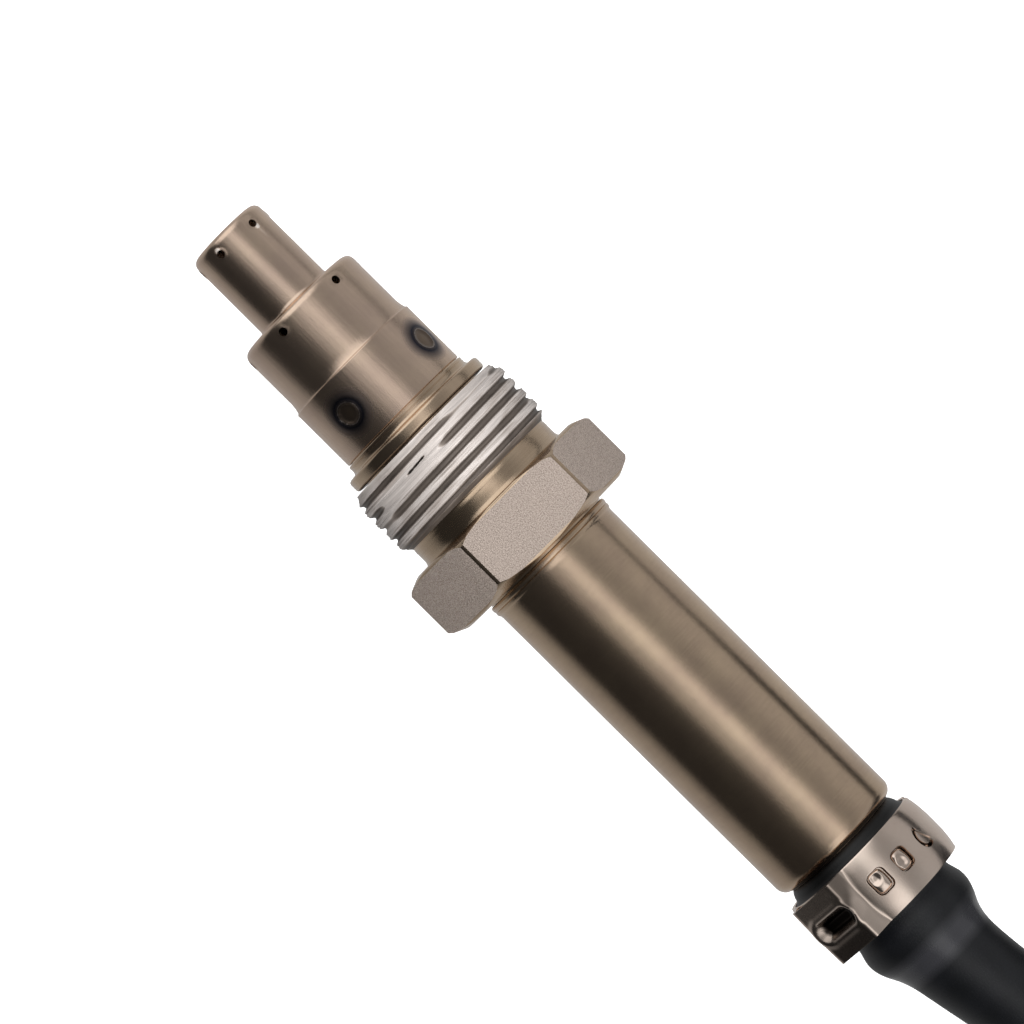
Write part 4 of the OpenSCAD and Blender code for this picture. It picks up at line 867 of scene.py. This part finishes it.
def grained(name, dark, pale, rough, grain_mm, depth_mm, metallic=0.0):
    """A plain material whose tone and skin vary with a grain of the given size, its edges broken 0.3 mm."""
    stuff, tree, shader, here = material_for(name)
    grain = add(tree, "TexNoise", {"Vector": here, "Scale": 1 / grain_mm, "Detail": 4.0, "Roughness": 0.6})
    tone = add(tree, "ValToRGB", {"Fac": grain, "stops": [(0.32, dark), (0.68, pale)]})
    broken = add(tree, "Bevel", {"Radius": 0.3 * MM, "samples": 6})
    relief = add(tree, "Bump", {"Height": grain, "Strength": 0.5, "Distance": depth_mm * MM,
                                "Normal": broken})
    fit(tree, shader, {"Base Color": tone, "Normal": relief, "Roughness": rough, "Metallic": metallic})
    return stuff


# Fired zirconia: dense, creamy white, faintly speckled
dressed(["sensor_element"], grained("fired_zirconia", "#d9d4c8", "#efece3", 0.38, 0.5, 0.02))

# ---- Ceramic stack -----------------------------------------------------------
# Three alumina supporters hold the element in the fitting's bore, and two rings of pressed talc
# between them seal it against the exhaust gas.
alumina = grained("sintered_alumina", "#d6d1c4", "#e8e4d9", 0.45, 0.35, 0.02)
dressed(["front_supporter", "middle_supporter", "rear_supporter"], alumina)
dressed(["front_talc", "rear_talc"], grained("pressed_talc", "#b3b1a6", "#cbc9bf", 0.8, 0.25, 0.05))

# ---- Metal ring and inner cylinder -------------------------------------------
# A loose steel washer behind the stack, and a drawn cylinder that is crimped over the washer and
# welded to the rear spigot: together they keep the talc under pressure.
plain_steel = stainless("plain_drawn_stainless", 0.2, "#bdb6ad", "#cdc7bf", 0.22, 0.08, (1.0, 0.05, 0.05))
dressed(["metal_ring", "inner_cylinder"], plain_steel)

# ---- Contact holder ----------------------------------------------------------
# Two halves of pressed steatite with four grooves each, held round the element's rear end by a
# slit spring ring. They keep the contacts apart and press them on the element's pads.
dressed(["upper_contact_holder", "lower_contact_holder"],
        grained("pressed_steatite", "#c3bba8", "#d8d2c1", 0.55, 0.4, 0.03))
dressed(["holder_ring"], plain_steel)

# ---- Contacts ----------------------------------------------------------------
# Eight bowed leaves of nickel alloy strip, 0.6 mm wide, each crimped to its wire at the rear.
dressed(["upper_contacts", "lower_contacts"],
        grained("rolled_nickel_alloy", "#bcb09a", "#d2c7b1", 0.3, 0.2, 0.005, 1.0))

# ---- Lead wires --------------------------------------------------------------
# Eight stranded wires in white fluoropolymer tubes, which run through the stopper into the cable.
dressed(["lead_wires"], grained("fluoropolymer_tube", "#cfccc2", "#e3e0d7", 0.4, 0.8, 0.01))

# ---- Stopper -----------------------------------------------------------------
# A plug of fluororubber with eight holes for the wires, pressed into the sleeve's neck as its seal.
dressed(["stopper"], grained("fluororubber_stopper", "#26272a", "#35363a", 0.6, 0.5, 0.03))

# ---- Coil strap --------------------------------------------------------------
# A woven cloth tape, 9 mm wide, wound once round the three strands of the coil so that it keeps its
# shape in transit. The photo doesn't show it.
woven, tree, shader, here = material_for("woven_cloth_tape")
threads = [add(tree, "TexWave", {"Vector": here, "bands_direction": way, "Scale": 0.55, "Distortion": 0.6})
           for way in ("X", "Y", "Z")]
crossed = add(tree, "Math", {"operation": "MAXIMUM", 0: threads[0].outputs["Fac"],
                             1: threads[1].outputs["Fac"]})
crossed = add(tree, "Math", {"operation": "MULTIPLY", 0: crossed, 1: threads[2].outputs["Fac"]})
tone = add(tree, "ValToRGB", {"Fac": crossed, "stops": [(0.0, "#121214"), (1.0, "#2e2f33")]})
relief = add(tree, "Bump", {"Height": crossed, "Strength": 0.6, "Distance": 0.0001})
fit(tree, shader, {"Base Color": tone, "Normal": relief, "Roughness": 0.85})
dressed(["coil_strap"], woven)

# ---- Connector ---------------------------------------------------------------
# An eight-pin plug of glass-filled nylon with a raised collar, guide ribs and a latch nib, a rubber
# wire seal and a cap behind it. The photo ends before it: it is guessed from usual sensor leads.
nylon = grained("glass_filled_nylon", "#1d1e21", "#2b2c30", 0.48, 0.3, 0.03)
dressed(["connector_housing", "connector_cap"], nylon)
# Silicone wire seal, pigmented brick red
dressed(["connector_seal"], grained("red_silicone_seal", "#8e3a28", "#a84a34", 0.5, 0.6, 0.02))
# Tin-plated brass pins, drawn square
dressed(["connector_pins"], grained("tinned_brass", "#bdb39a", "#d5ccb4", 0.28, 0.3, 0.004, 1.0))
